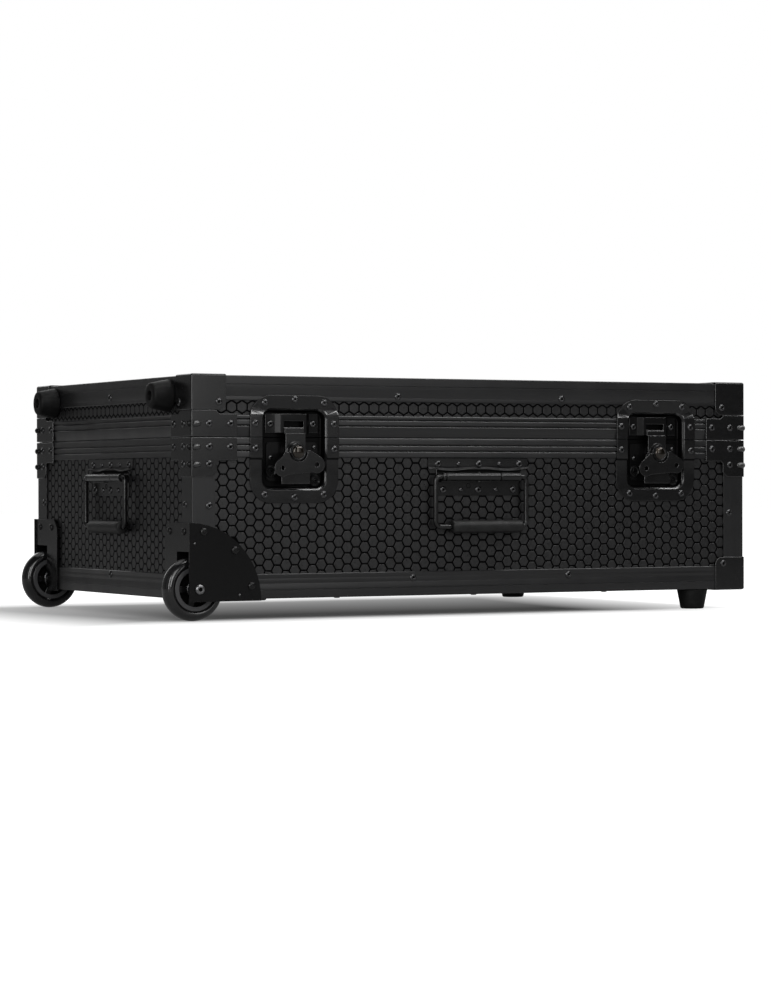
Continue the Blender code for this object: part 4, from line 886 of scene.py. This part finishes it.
def bead_shape():
    """A short pinched bead that runs from the corner along a bracket."""
    points = []
    rows, sides = 15, 10
    for i in range(rows):
        t = i / (rows - 1)
        rise = min(1.0, t / 0.22)
        fall = max(0.0, (t - 0.22) / 0.78)
        swell = math.sqrt(max(0.0, 1 - (1 - rise) ** 2)) * math.sqrt(max(0.0, 1 - fall ** 2.6))
        points += [((0.2 + 10.8 * t) * MM, v * 3.8 * swell * MM, (n * 3.6 * swell - 0.2) * MM)
                   for v, n in arc(0, 0, 1, 0, 180, sides)]
    return points, closed(numbered(rows, sides + 1))


def build_corner_hardware():
    for corner in CORNERS:
        refined(f"base_split_bracket_{corner}", 0.7, STEEL_FINISH, corner=2.6)
        refined(f"lid_split_bracket_{corner}", 0.7, STEEL_FINISH, corner=2.6)
        refined(f"lid_corner_cap_{corner}", 0.6, STEEL_FINISH, corner=2.8, also_level=True)
    for corner in CORNERS[1::2]:
        refined(f"base_corner_cap_{corner}", 0.6, STEEL_FINISH, corner=2.8, also_level=True)
    points, faces = bead_shape()
    base, lid = Soup(), Soup()
    for side, width in WIDTHS.items():
        # The beads on the two ends take the duller kick plate finish as painted shade; those on the
        # long sides are rubbed and glossy
        bead = (points, faces, [int(side in ("left", "right"))] * len(faces))
        mirror = Matrix.Scale(-1, 4, (1, 0, 0))
        for place in (on(side, 0, 0, BRACKET_FACE), on(side, width, 0, BRACKET_FACE) @ mirror):
            for soup, height in ((lid, 207.6), (base, 180.2), (base, 159.5)):
                soup.add(bead, moved(place, 0, height))
    steel_parts("base_bracket_beads", base, "base", (RUBBED_AND_HIGHLIGHT_FINISH, KICK_FINISH), 60)
    steel_parts("lid_bracket_beads", lid, "lid", (RUBBED_AND_HIGHLIGHT_FINISH, KICK_FINISH), 60)


# Wheels


def build_wheels():
    tread = [(27.2, -10.2), (28.3, -11.2), (29.6, -11.6), (31.0, -11.4), (32.4, -10.9),
             (34.4, -9.5), (36.0, -7.5), (37.2, -4.9), (37.85, -2.2), (38.0, 0)]
    tread += [(r, -h) for r, h in tread[-2::-1]]
    rim_ring = [(21.0, 9.6), (21.0, 10.1), (21.3, 10.3), (25.8, 10.3), (26.2, 10.0), (26.2, 9.6)]
    bearing = [(7.0, 9.6), (10.6, 9.6), (10.6, 10.05), (10.2, 10.25), (9.2, 10.25), (9.0, 9.95),
               (8.2, 9.95), (8.0, 10.25), (7.2, 10.25), (7.0, 10.1)]
    shaft = [(0, -21.7), (4.0, -21.7), (4.0, -19.2), (6.5, -19.2), (6.5, -10.3), (4.0, -10.3),
             (4.0, 10.3), (6.5, 10.3), (6.5, 19.5), (4.0, 19.5), (4.0, 22.0), (6.0, 22.3),
             (6.0, 22.9), (5.8, 23.8), (4.9, 24.6), (3.7, 25.1), (2.6, 25.0), (2.4, 24.6),
             (2.3, 23.1), (0, 23.0)]
    for label, turn in (("front", 90), ("back", -90)):
        low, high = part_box(f"wheel_tyre_{label}")
        place = Matrix.Translation((low + high) / 2) @ turned(turn, "X")
        housing = cleaned(f"wheel_housing_{label}")
        for polygon in housing.polygons:
            polygon.material_index = int(abs(polygon.normal.x) > 0.7
                                         and polygon.center.x < LEFT + 3 * MM)
        stand_in(f"wheel_housing_{label}", housing, (KICK_FINISH, STEEL_FINISH), bevel=0.6,
                 segments=3)
        stand_in(f"wheel_tyre_{label}", Soup().add(lathe(tread, 96), place), TYRE_FINISH, sharp=70)
        refined(f"wheel_hub_{label}", 0.5, KICK_FINISH)
        body = f"wheel_{label}"
        piece(f"wheel_hub_rings_{label}", both_ways(rim_ring, 60, place), NYLON_FINISH, body,
              "hub_plastic")
        # A near-black disc across the hub's core, behind the spokes: painted shade for the dark
        # inside of the hub
        core_shade = Soup().add(lathe([(0, -1.5), (21.6, -1.5), (21.6, 1.5), (0, 1.5)], 48), place)
        piece(f"wheel_core_painted_shade_{label}", core_shade, HOLE_SHADE_FINISH, body, "hub_plastic")
        piece(f"wheel_bearings_{label}", both_ways(bearing, 40, place), BARE_FINISH, body,
              "bare_steel", sharp=40)
        axle = Soup().add(holed(lathe(shaft, 40), 2.5), place)
        stand_in(f"wheel_axle_{label}", axle, (BARE_FINISH, HOLE_SHADE_FINISH), sharp=40)


def build_housing_screws():
    soup = Soup()
    for side in ("front", "back"):
        for k, (u, v) in enumerate(((13.8, 80.4), (54.2, 58.3), (75.7, 15.5))):
            soup.add(BOLT, on(side, u, v, 2.5, 20 + 31 * k))
        for u, v in ((2.5, 66.4), (60.3, 5.1)):
            soup.add(DOT, on(side, u, v, 2.5), finish=2)
        soup.add(SCREW, on("under", 97.0, 12.0 if side == "front" else DEPTH - 12.0))
    for u in (18.4, 60.4, DEPTH - 54.2, DEPTH - 14.0):
        soup.add(SCREW, on("left", u, 80.6, 2.5, u))
    steel_parts("wheel_housing_screws", soup, "base", (BOLT_FINISH, HOLE_SHADE_FINISH, RIVET_FINISH))


# Feet


def build_feet():
    seat = -16.0
    profile = [(0, seat), (6.0, seat), (6.0, -24.0), (6.2, -24.7), (7.0, -25.0), (13.2, -25.0),
               (14.4, -24.5), (15.2, -23.3), (15.6, -21.5), (19.5, -1.5), (19.4, -0.4), (19.0, 0),
               (0, 0)]
    screw = screw_head(4.8, 2.4, 2.0)
    for name in ("base_foot_front", "base_foot_back", "end_foot_front", "end_foot_back"):
        low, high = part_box(name)
        middle = (low + high) / 2
        if name.startswith("base"):
            place = Matrix.Translation((middle.x, middle.y, high.z))
        else:
            place = Matrix.Translation((high.x, middle.y, middle.z)) @ turned(90, "Y")
        stand_in(name, Soup().add(lathe(profile, 64), place), RUBBER_FINISH, sharp=50)
        head = Soup().add(screw, moved(place, 0, 0, seat) @ turned(180, "X"))
        steel_parts(f"{name}_screw", head, BODY_OF[name])


# Handles

PIVOT_DROP = 23.0
STANDOFF = 7.2
HANDLE_TOP = BASE_RIM_LOW - 0.3


def handle_place(side):
    if side == "front":
        return Matrix.Translation(at(LENGTH / 2 - 4, 0, HANDLE_TOP))
    edge, turn = (0, -90) if side == "left" else (LENGTH, 90)
    return Matrix.Translation(at(edge, DEPTH / 2, HANDLE_TOP)) @ turned(turn, "Z")


def lip_shape():
    """The handle's upper plate, whose lower edge curls outwards in a shallow wave; the curl takes
    the second, duller finish as painted shade, to dim the light it catches.
    """
    points = []
    rows = 56
    profile = [(0, -0.55), (-0.25, -0.3), (-9.2, -0.3), (-10.6, -0.1), (-11.6, 0.4), (-12.3, 1.2),
               (-12.8, 2.0), (-13.3, 2.2), (-13.6, 1.8), (-13.2, 0.4), (-12.2, -0.8),
               (-10.6, -1.6), (-9.0, -1.8), (-0.1, -1.8)]
    count = len(profile)
    for i in range(rows + 1):
        u = -70.5 + 141.0 * i / rows
        phase = min(1.0, max(0.0, (abs(u) - 8) / 62))
        sag = 2.1 * math.sin(math.pi * phase) ** 2
        points += [(u * MM, (v - sag * smooth(-6.0, -12.0, v)) * MM, n * MM) for v, n in profile]
    shaded_curl = [int(2 <= k % count <= 9) for k in range(rows * count)]
    return points, closed(numbered(rows + 1, count)), shaded_curl + [0, 0]


def build_handle(side):
    """In the handle's own axes X runs along the barrel, -Y out of the case and Z up."""
    place = handle_place(side)
    face = place @ Matrix(((1, 0, 0, 0), (0, 0, -1, 0), (0, 1, 0, 0), (0, 0, 0, 1)))
    plate = Soup().add(slab(-59, -46, 59, -12.5, -1.8, -0.3, 0.25), face)
    plate.add(lip_shape(), face)
    # The lip's curl takes the duller kick plate finish: painted shade
    stand_in(f"{side}_handle_plate", plate, (STEEL_FINISH, KICK_FINISH), sharp=35)
    # Painted shade: a near-black strip in the hollow under the lip and a near-black eye for the
    # lower plate's hole
    hollow_shades = Soup().add(slab(-58, -18, 58, -14, -0.3, -0.1), face)
    eye = lathe([(0, -0.45), (2.3, -0.4), (2.3, -0.1), (2.9, 0.0), (3.1, -0.3), (3.0, -0.45)], 24)
    hollow_shades.add(eye, moved(face, -14.1, -33.9))
    steel_parts(f"{side}_handle_hollows", hollow_shades, finish=HOLE_SHADE_FINISH)

    barrel = Soup()
    lying = moved(face, 0, -PIVOT_DROP, STANDOFF) @ turned(90, "Y")
    for start, end in ((-55.0, -51.0), (-49.9, 26.0), (27.1, 55.0)):
        sleeve = [(3.4, start), (4.6, start), (5.1, start + 0.5), (5.1, end - 0.5), (4.6, end),
                  (3.4, end)]
        barrel.add(lathe(sleeve, 40), lying)
    for v in (-PIVOT_DROP + 4.7, -PIVOT_DROP - 6.2):
        barrel.add(slab(-4.3, v, -1.5, v + 1.5, 5.2, 9.0, 0.4), face)
    barrel.add(slab(-55, -29.5, 55, -25.0, -0.4, 5.4), face)
    steel_parts(f"{side}_handle_barrel", barrel, finish=STEEL_FINISH, sharp=35)
    rivets = Soup()
    for v, row in ((-7.2, (-56.5, -27.9, 1.0, 29.9, 58.5)), (-38.6, (-49.5, -24.8, 0, 24.8, 49.5))):
        for k, u in enumerate(row):
            rivets.add(SMALL_RIVET if k % 2 else RIVET, moved(face, u, v, -0.3))
    steel_parts(f"{side}_handle_rivets", rivets)

    half, high, low = 64.0, -PIVOT_DROP, -PIVOT_DROP - 61.0
    run = [(39.0 + 3.0 * i, high) for i in range(7)]
    run += arc(half - 5.5, high - 5.5, 5.5, 90, 0, 12)
    run += arc(half - 7, low + 7, 7, 0, -90, 12)
    run = [Vector((x * MM, -STANDOFF * MM, z * MM)) for x, z in run]
    path = run + [Vector((-p.x, p.y, p.z)) for p in reversed(run)]
    stand_in(f"{side}_handle_bail", Soup().add(tube(path, 3.1 * MM, 20), place), STEEL_FINISH,
             sharp=60)
    grip = [(3.4, -49.0), (6.6, -49.0), (7.5, -48.5), (7.9, -47.2), (8.0, -44.0), (8.0, 45.5),
            (7.9, 47.9), (7.5, 49.2), (6.6, 49.8), (3.4, 49.8)]
    lying = moved(place, 7.0, -STANDOFF, low) @ turned(90, "Y")
    stand_in(f"{side}_handle_grip", Soup().add(lathe(grip, 40), lying), GRIP_FINISH, sharp=50)


# Latches

JOGGLE = 2.4
TOP_JOGGLE = 5.2
RAISED, LOWERED = 1.6, -0.5
STEP_LOW, STEP_HIGH = BASE_RIM_LOW - 0.3, LID_RIM_TOP + 0.9
FLANGE_TOP = 240.8
SHEET = 1.3
DISH_FLOOR = -9.8
ROTOR_Z = 174.5
# A dish's faces: plain steel outside, painted shade in the pan and on the step that faces down,
# painted highlight on the lip and the step that faces up
OUTSIDE, PAINTED_SHADE, PAINTED_HIGHLIGHT = range(3)


def flange_height(z):
    """How far a dish's flange stands out of the case's front plane at a height."""
    if z < SPLIT:
        rise = (z - STEP_LOW + JOGGLE) / JOGGLE
    elif z < STEP_HIGH + TOP_JOGGLE:
        rise = 1 - (z - STEP_HIGH) / TOP_JOGGLE
    else:
        rise = (z - STEP_HIGH - TOP_JOGGLE) / (FLANGE_TOP - STEP_HIGH - TOP_JOGGLE)
    return LOWERED + (RAISED - LOWERED) * min(1.0, max(0.0, rise))


def dish_mesh(name, centre, low_cut, high_cut):
    """A latch dish between two heights: flange, rounded mouth, walls and floor."""
    flange = (59.0, 113.5, 242.3, 28.0)
    mouth = (40.35, 131.7, 224.0, 10.0)
    # Each ring: an outline, how far inside it, its depth and whether it follows the flange
    rows = [
        (flange, 0.0, -0.55, 1), (flange, 0.25, -0.1, 1), (flange, 0.8, 0.0, 1),
        (mouth, -3.2, 0.0, 1), (mouth, -2.6, -0.2, 1), (mouth, -0.8, -2.0, 1),
        (mouth, -0.25, -2.7, 1), (mouth, 0.0, -3.4, 1), (mouth, 0.75, DISH_FLOOR + 1.9, 0),
        (mouth, 1.25, DISH_FLOOR + 0.6, 0), (mouth, 2.4, DISH_FLOOR, 0),
    ]
    bm = bmesh.new()
    sink = bm.verts.layers.float.new("sink")
    lift = bm.verts.layers.float.new("lift")
    previous = None
    for (reach, bottom, top, radius), inset, level, lifted in rows:
        ring = []
        for u, v in rounded(inset - reach, bottom + inset, reach - inset, top - inset,
                            radius - inset):
            vertex = bm.verts.new(at(centre + u, 0, v))
            vertex[sink] = level
            vertex[lift] = lifted
            ring.append(vertex)
        if previous:
            for quad in joined([previous, ring]):
                finish = PAINTED_SHADE if not lifted else PAINTED_HIGHLIGHT if level < -1 else OUTSIDE
                bm.faces.new(quad).material_index = finish
        previous = ring
    bm.faces.new(previous).material_index = PAINTED_SHADE
    for height in (STEP_LOW - JOGGLE, STEP_LOW, STEP_HIGH, STEP_HIGH + TOP_JOGGLE, FLANGE_TOP,
                   low_cut, high_cut):
        bmesh.ops.bisect_plane(
            bm, geom=bm.verts[:] + bm.edges[:] + bm.faces[:],
            plane_co=(0, 0, BOTTOM + height * MM), plane_no=(0, 0, 1),
            clear_outer=height == high_cut, clear_inner=height == low_cut,
        )
    for vertex in bm.verts:
        level = vertex[sink] + vertex[lift] * flange_height((vertex.co.z - BOTTOM) / MM)
        vertex.co.y = FRONT - level * MM
    bm.normal_update()
    for face in bm.faces:
        z = (face.calc_center_median().z - BOTTOM) / MM
        # Sideways parts of the lip go back to plain steel; the upper step gets the painted
        # highlight and the lower step the painted shade
        if face.material_index == PAINTED_HIGHLIGHT and abs(face.normal.x) > abs(face.normal.z):
            face.material_index = OUTSIDE
        elif face.material_index == OUTSIDE and STEP_HIGH < z < STEP_HIGH + TOP_JOGGLE:
            face.material_index = PAINTED_HIGHLIGHT
        elif face.material_index == OUTSIDE and STEP_LOW - JOGGLE < z < STEP_LOW:
            face.material_index = PAINTED_SHADE
    bmesh.ops.recalc_face_normals(bm, faces=bm.faces)
    deepest = max(bm.faces, key=lambda face: face.calc_center_median().y)
    if deepest.normal.y > 0:
        bmesh.ops.reverse_faces(bm, faces=bm.faces)
    mesh = bpy.data.meshes.new(name)
    bm.to_mesh(mesh)
    bm.free()
    return mesh


def add_dish(name, centre, low_cut, high_cut):
    mesh = dish_mesh(name, centre, low_cut, high_cut)
    made = stand_in(name, mesh, (STEEL_FINISH, PAN_SHADE_FINISH, RUBBED_AND_HIGHLIGHT_FINISH), sharp=40)
    shell = made.modifiers.new("sheet", "SOLIDIFY")
    shell.thickness = SHEET * MM
    shell.offset = -1
    shell.use_even_offset = True
    ease_edges(made, 0.25, 2, 60)
    flatten_shading(made)


def keeper_mesh(name, centre):
    """Bent strip: a tab on the dish's floor at each side and a bridge on splayed legs."""
    sheet, half, foot, tab = 1.5, 17.0, 22.7, 35.0
    floor, face = 9.75, 2.2
    side = [(tab, floor), (tab, floor - sheet), (foot + 0.6, floor - sheet),
            (foot - 0.4, floor - sheet - 0.6), (half + 0.5, face + 0.7), (half - 0.5, face)]
    inner = [(foot - sheet, floor), (half - sheet, face + sheet)]
    outline = side + [(-u, d) for u, d in reversed(side)]
    outline += [(-u, d) for u, d in inner] + list(reversed(inner))
    points = [at(centre + u, d, z) for z in (197.5, 220.3) for u, d in outline]
    strip = outward_mesh(name, points, closed(numbered(2, len(outline))))
    return cut(strip, name, [((centre - 13, -1, 204.0), (centre + 13, 7, 211.5))])


def build_latch(label):
    latch, centre = f"latch_{label}", LATCHES[label]
    add_dish(f"{latch}_base_dish", centre, 100.0, BASE_RIM_TOP)
    add_dish(f"{latch}_lid_dish", centre, LID_RIM_LOW, 300.0)
    base, lid = Soup(), Soup()
    flange = [(-39.3, 233.3), (0, 237.4), (39.2, 233.6), (-52.5, 208.3), (51.8, 207.8),
              (-52.2, 178.7), (52.5, 177.8), (-39.2, 123.6), (0, 120.4), (39.0, 123.4)]
    for k, (u, v) in enumerate(flange):
        place = on("front", centre + u, v, flange_height(v) - 0.05, 41 * k)
        # The flange leans back where it rises to its upper edge
        tilt = turned(-7 if v > 222 else 0, "X")
        (lid if v > SPLIT else base).add(RIVET, place @ tilt)
    for soup, shape, u, v in ((lid, RIVET, -28.4, 208.2), (lid, RIVET, 28.4, 208.2),
                              (base, SMALL_RIVET, -28.5, 168.0), (base, SMALL_RIVET, 29.7, 180.1)):
        soup.add(shape, on("front", centre + u, v, -8.2))
    steel_parts(f"{latch}_base_rivets", base)
    steel_parts(f"{latch}_lid_rivets", lid, "lid")

    plate = rounded(-34.0, 140.0, 34.0, 186.5, 5.0, 5)
    fixed = Soup().add(prism(plate, -9.85, -8.3, 0.3), on("front", centre, 0))
    ring = lathe([(3.0, -9.7), (7.3, -9.7), (7.3, -6.6), (6.9, -5.9), (5.9, -5.6), (5.2, -6.1),
                  (4.4, -6.6), (3.4, -6.4), (3.0, -6.9)], 32)
    pin = lathe([(2.9, -9.7), (2.9, -6.6), (2.3, -5.9), (0, -5.7)], 20)
    for u, v in ((-28.0, 151.6), (30.0, 140.3)):
        fixed.add(ring, on("front", centre + u, v))
        fixed.add(pin, on("front", centre + u, v))
    steel_parts(f"{latch}_back_plate", fixed, finish=KICK_FINISH, sharp=40)
    keeper = keeper_mesh(f"{latch}_keeper", centre)
    steel_parts(f"{latch}_keeper", keeper, "lid", KICK_FINISH, 30, bevel=0.5)

    for name, bevel in (("strap", 0.5), ("wing", 0.4)):
        made = refined(f"{latch}_{name}", bevel, STEEL_FINISH, 3)
        made.modifiers["edges"].use_clamp_overlap = False

    shaft = [(0, -10.8), (3.0, -10.8), (3.0, -8.0), (13.0, -8.0), (13.0, -2.2), (10.0, -2.2),
             (10.0, 3.3), (12.8, 3.3), (12.8, 4.3), (12.3, 4.8), (10.8, 4.8), (10.8, 9.1),
             (10.4, 9.5), (9.8, 9.5), (9.8, 10.7), (9.5, 11.1), (8.7, 11.2), (8.1, 10.9),
             (7.9, 10.6)]
    dome = [(7.8, 10.8), (7.6, 11.3), (7.1, 11.9), (6.2, 12.5), (5.0, 13.0), (3.6, 13.35),
            (1.8, 13.55), (0, 13.6)]
    points, faces = lathe(shaft + dome, 48)
    brass = [int(min(points[i][2] for i in face) > 10.59 * MM
                 and max(math.hypot(*points[i][:2]) for i in face) < 7.95 * MM)
             for face in faces]
    rotor = Soup().add((points, faces, brass), on("front", centre, ROTOR_Z))
    stand_in(f"{latch}_rotor", rotor, (STEEL_FINISH, BRASS_FINISH), sharp=40)


# Back hinge


def build_hinge():
    inset, count = 108, 11
    for label, height in (("base", 178.6), ("lid", 205.4)):
        refined(f"hinge_{label}_leaf", 0.25, STEEL_FINISH)
        rivets = Soup()
        for k in range(count):
            u = inset + k * (LENGTH - 2 * inset) / (count - 1)
            rivets.add(SMALL_RIVET, on("back", u, height, 1.8))
        steel_parts(f"hinge_{label}_rivets", rivets, label, RIVET_FINISH)


# Foam


def build_foam():
    made = stand_in("foam_insert", cleaned("foam_insert"), FOAM_FINISH, bevel=1.5, segments=3)

    # The lining under the lid: a sheet whose lower face is cut in waves
    inset, step, pitch = 16.0, 4, 26.0
    top, thick, wave = HEIGHT - 11.6, 12.0, 7.0
    nx, ny = int((LENGTH - 2 * inset) / step), int((DEPTH - 2 * inset) / step)
    points = []
    for j in range(ny + 1):
        for i in range(nx + 1):
            x = inset + (LENGTH - 2 * inset) * i / nx
            y = inset + (DEPTH - 2 * inset) * j / ny
            dip = math.sin(math.tau * x / pitch) * math.sin(math.tau * y / pitch)
            points.append(at(x, y, top - thick - wave * dip))
    rows = numbered(ny + 1, nx + 1)
    faces = [[low[i], high[i], high[i + 1], low[i + 1]]
             for low, high in zip(rows, rows[1:]) for i in range(nx)]
    border = rows[0][:-1] + [row[-1] for row in rows[:-1]]
    border += rows[-1][:0:-1] + [row[0] for row in rows[:0:-1]]
    upper = numbered(1, len(border), len(points))[0]
    points += [Vector((points[i].x, points[i].y, BOTTOM + top * MM)) for i in border]
    lining = Soup().add((points, faces + joined([border, upper]) + [upper]))
    made = piece("lid_foam_lining", lining, FOAM_FINISH, "lid", "foam", sharp=60)


# Studio

WORLD_MIRRORED = 0.03
WORLD_FILL = 0.14
BACKDROP_RIGHT = 0.6
BACKDROP_LEFT = 0.11
FLOOR_HALF = 12.0
FLOOR_UNDER = (0.05, 0.30)
FLOOR_MIRRORED = 0.05
FLOOR_BOUNCE = 0.5
FLOOR_GREY = 0.35
# Painted shadow: under the case, a little to the left of it, the floor's glow for the camera is
# dimmed, paling towards the back
SHADOW_CORE = 0.12
SHADOW_X = (LEFT - 0.02, RIGHT - 0.22)
SHADOW_FADE_X = (0.0, 0.26)
SHADOW_FADE_Y = (-0.07, 0.12)


def area_light(name, place, target, size, energy):
    data = bpy.data.lights.new(name, "AREA")
    data.shape = "RECTANGLE"
    data.size, data.size_y = size
    data.energy = energy
    lamp = placed(name, data)
    lamp.location = place
    lamp.rotation_euler = (Vector(target) - Vector(place)).to_track_quat("-Z", "Y").to_euler()


def build_world():
    """White for the camera; in reflections a pale backdrop behind and to the right, dark towards
    the left, and a faint even glow all round; an even fill for diffuse light."""
    world = bpy.data.worlds.new("studio")
    bpy.context.scene.world = world
    world.use_nodes = True
    sky = Nodes(world.node_tree)
    view = sky.node("ShaderNodeTexCoord").outputs["Generated"]
    rays = sky.node("ShaderNodeLightPath").outputs

    def facing(direction, low, high, peak):
        """Rises to peak as the view turns towards a direction."""
        dot = sky.node("ShaderNodeVectorMath", operation="DOT_PRODUCT")
        sky.link(view, dot.inputs[0])
        dot.inputs[1].default_value = Vector(direction).normalized()
        return sky.ramp(dot.outputs["Value"], low, high, 0.0, peak,
                        interpolation_type="SMOOTHSTEP")

    backdrop = facing((0.75, 0.66, 0.0), 0.35, 0.95, BACKDROP_RIGHT)
    beside = facing((-0.5, 0.86, 0.0), 0.5, 0.97, BACKDROP_LEFT)
    mirrored = sky.math("ADD", sky.math("ADD", backdrop, beside), WORLD_MIRRORED)
    mirrored = sky.math("MULTIPLY", mirrored, rays["Is Glossy Ray"])
    seen = sky.math("MAXIMUM", rays["Is Camera Ray"], rays["Is Transmission Ray"])
    fill = sky.math("MULTIPLY", rays["Is Diffuse Ray"], WORLD_FILL)
    background = world.node_tree.nodes["Background"].inputs
    sky.give(background["Color"], (1, 1, 1, 1))
    sky.give(background["Strength"], sky.math("ADD", sky.math("ADD", seen, mirrored), fill))


def build_floor():
    """A pale floor that takes the lamps' shadow, with a painted shadow near the case where its glow
    for the camera is dimmed, and turns white further out.
    """
    mesh = bpy.data.meshes.new("floor")
    corners = [(x * FLOOR_HALF, y * FLOOR_HALF, 0) for x, y in ((-1, -1), (1, -1), (1, 1), (-1, 1))]
    mesh.from_pydata(corners, [], [(0, 1, 2, 3)])
    floor = placed("floor", mesh)
    look = Look("floor_finish", (0.8, 0.8, 0.8), 0.85, 0.0, 0.0)
    look.set("Emission Color", (1, 1, 1, 1))
    place = look.node("ShaderNodeTexCoord").outputs["Object"]
    split = look.node("ShaderNodeSeparateXYZ", Vector=place).outputs
    # Painted shadow: the glow is low under the case and rises to full outside it
    spread = look.ramp(split["Y"], FRONT + SHADOW_CORE, BACK, *FLOOR_UNDER)
    for value, core, fade in ((split["X"], SHADOW_X, SHADOW_FADE_X),
                              (split["Y"], (FRONT, BACK), SHADOW_FADE_Y)):
        outside = look.ramp(look.beyond(value, *core), *fade)
        spread = look.math("MAXIMUM", spread, outside)
    rays = look.node("ShaderNodeLightPath").outputs
    seen = look.math("MAXIMUM", rays["Is Camera Ray"], rays["Is Transmission Ray"])
    unseen = look.math("ADD", look.math("MULTIPLY", rays["Is Glossy Ray"], FLOOR_MIRRORED),
                       look.math("MULTIPLY", rays["Is Diffuse Ray"], FLOOR_BOUNCE))
    look.set("Emission Strength", look.math("ADD", look.math("MULTIPLY", spread, seen), unseen))
    pale = look.mix(look.noise(300), (0.44, 0.44, 0.44), (0.46, 0.46, 0.46))
    look.finish(look.mix(seen, (FLOOR_GREY,) * 3, pale), 0.85)
    mesh.materials.append(look.material)


def build_studio():
    bpy.context.scene.view_settings.view_transform = "Standard"
    build_world()
    build_floor()
    front = (-0.1, -0.25, 0.2)
    # Two keys at the front left, one above the other
    area_light("key_low", (-1.55, -2.2, 0.65), front, (0.8, 0.9), 11)
    area_light("key_high", (-1.5, -2.1, 1.5), front, (1.2, 1.0), 12)
    # Narrow strips above the front, a broad one above the back and one for the corner's edge
    area_light("strip_top", (0.7, -0.5, 1.75), (0.7, -0.5, 0.0), (2.6, 0.2), 14)
    area_light("strip_front", (0.9, -1.85, 1.85), (0.3, -0.25, 0.2), (2.2, 0.45), 22)
    area_light("top_back", (0.7, 0.8, 1.9), (0.7, 0.8, 0.0), (3.4, 1.6), 12.8)
    area_light("strip_corner", (-2.2, -1.2, 0.7), (-0.4, -0.25, 0.15), (0.4, 1.4), 11)
    # A bank that the front face mirrors, dimmer towards the right, and a fill for each other side
    area_light("bank_left", (0.35, -2.75, 0.85), (0.0, -0.25, 0.2), (0.7, 1.3), 6.4)
    area_light("bank_middle", (1.05, -2.75, 0.85), (0.0, -0.25, 0.2), (0.7, 1.3), 1.5)
    area_light("bank_right", (1.75, -2.75, 0.85), (0.2, -0.25, 0.2), (0.7, 1.3), 0.3)
    area_light("back_fill", (0.4, 2.8, 1.3), (0.0, 0.25, 0.15), (2.4, 1.6), 14)
    area_light("right_fill", (2.9, 0.5, 1.1), (0.4, 0.0, 0.15), (1.4, 1.4), 7)
    area_light("end_fill", (-2.5, -0.1, 0.7), (-0.4, 0.0, 0.15), (0.8, 1.3), 0.7)


build_camera()
build_panels()
build_extrusions()
build_rivets()
build_corner_hardware()
build_wheels()
build_housing_screws()
build_feet()
for handle_side in ("front", "left", "right"):
    build_handle(handle_side)
for latch_label in LATCHES:
    build_latch(latch_label)
build_hinge()
build_foam()
build_studio()
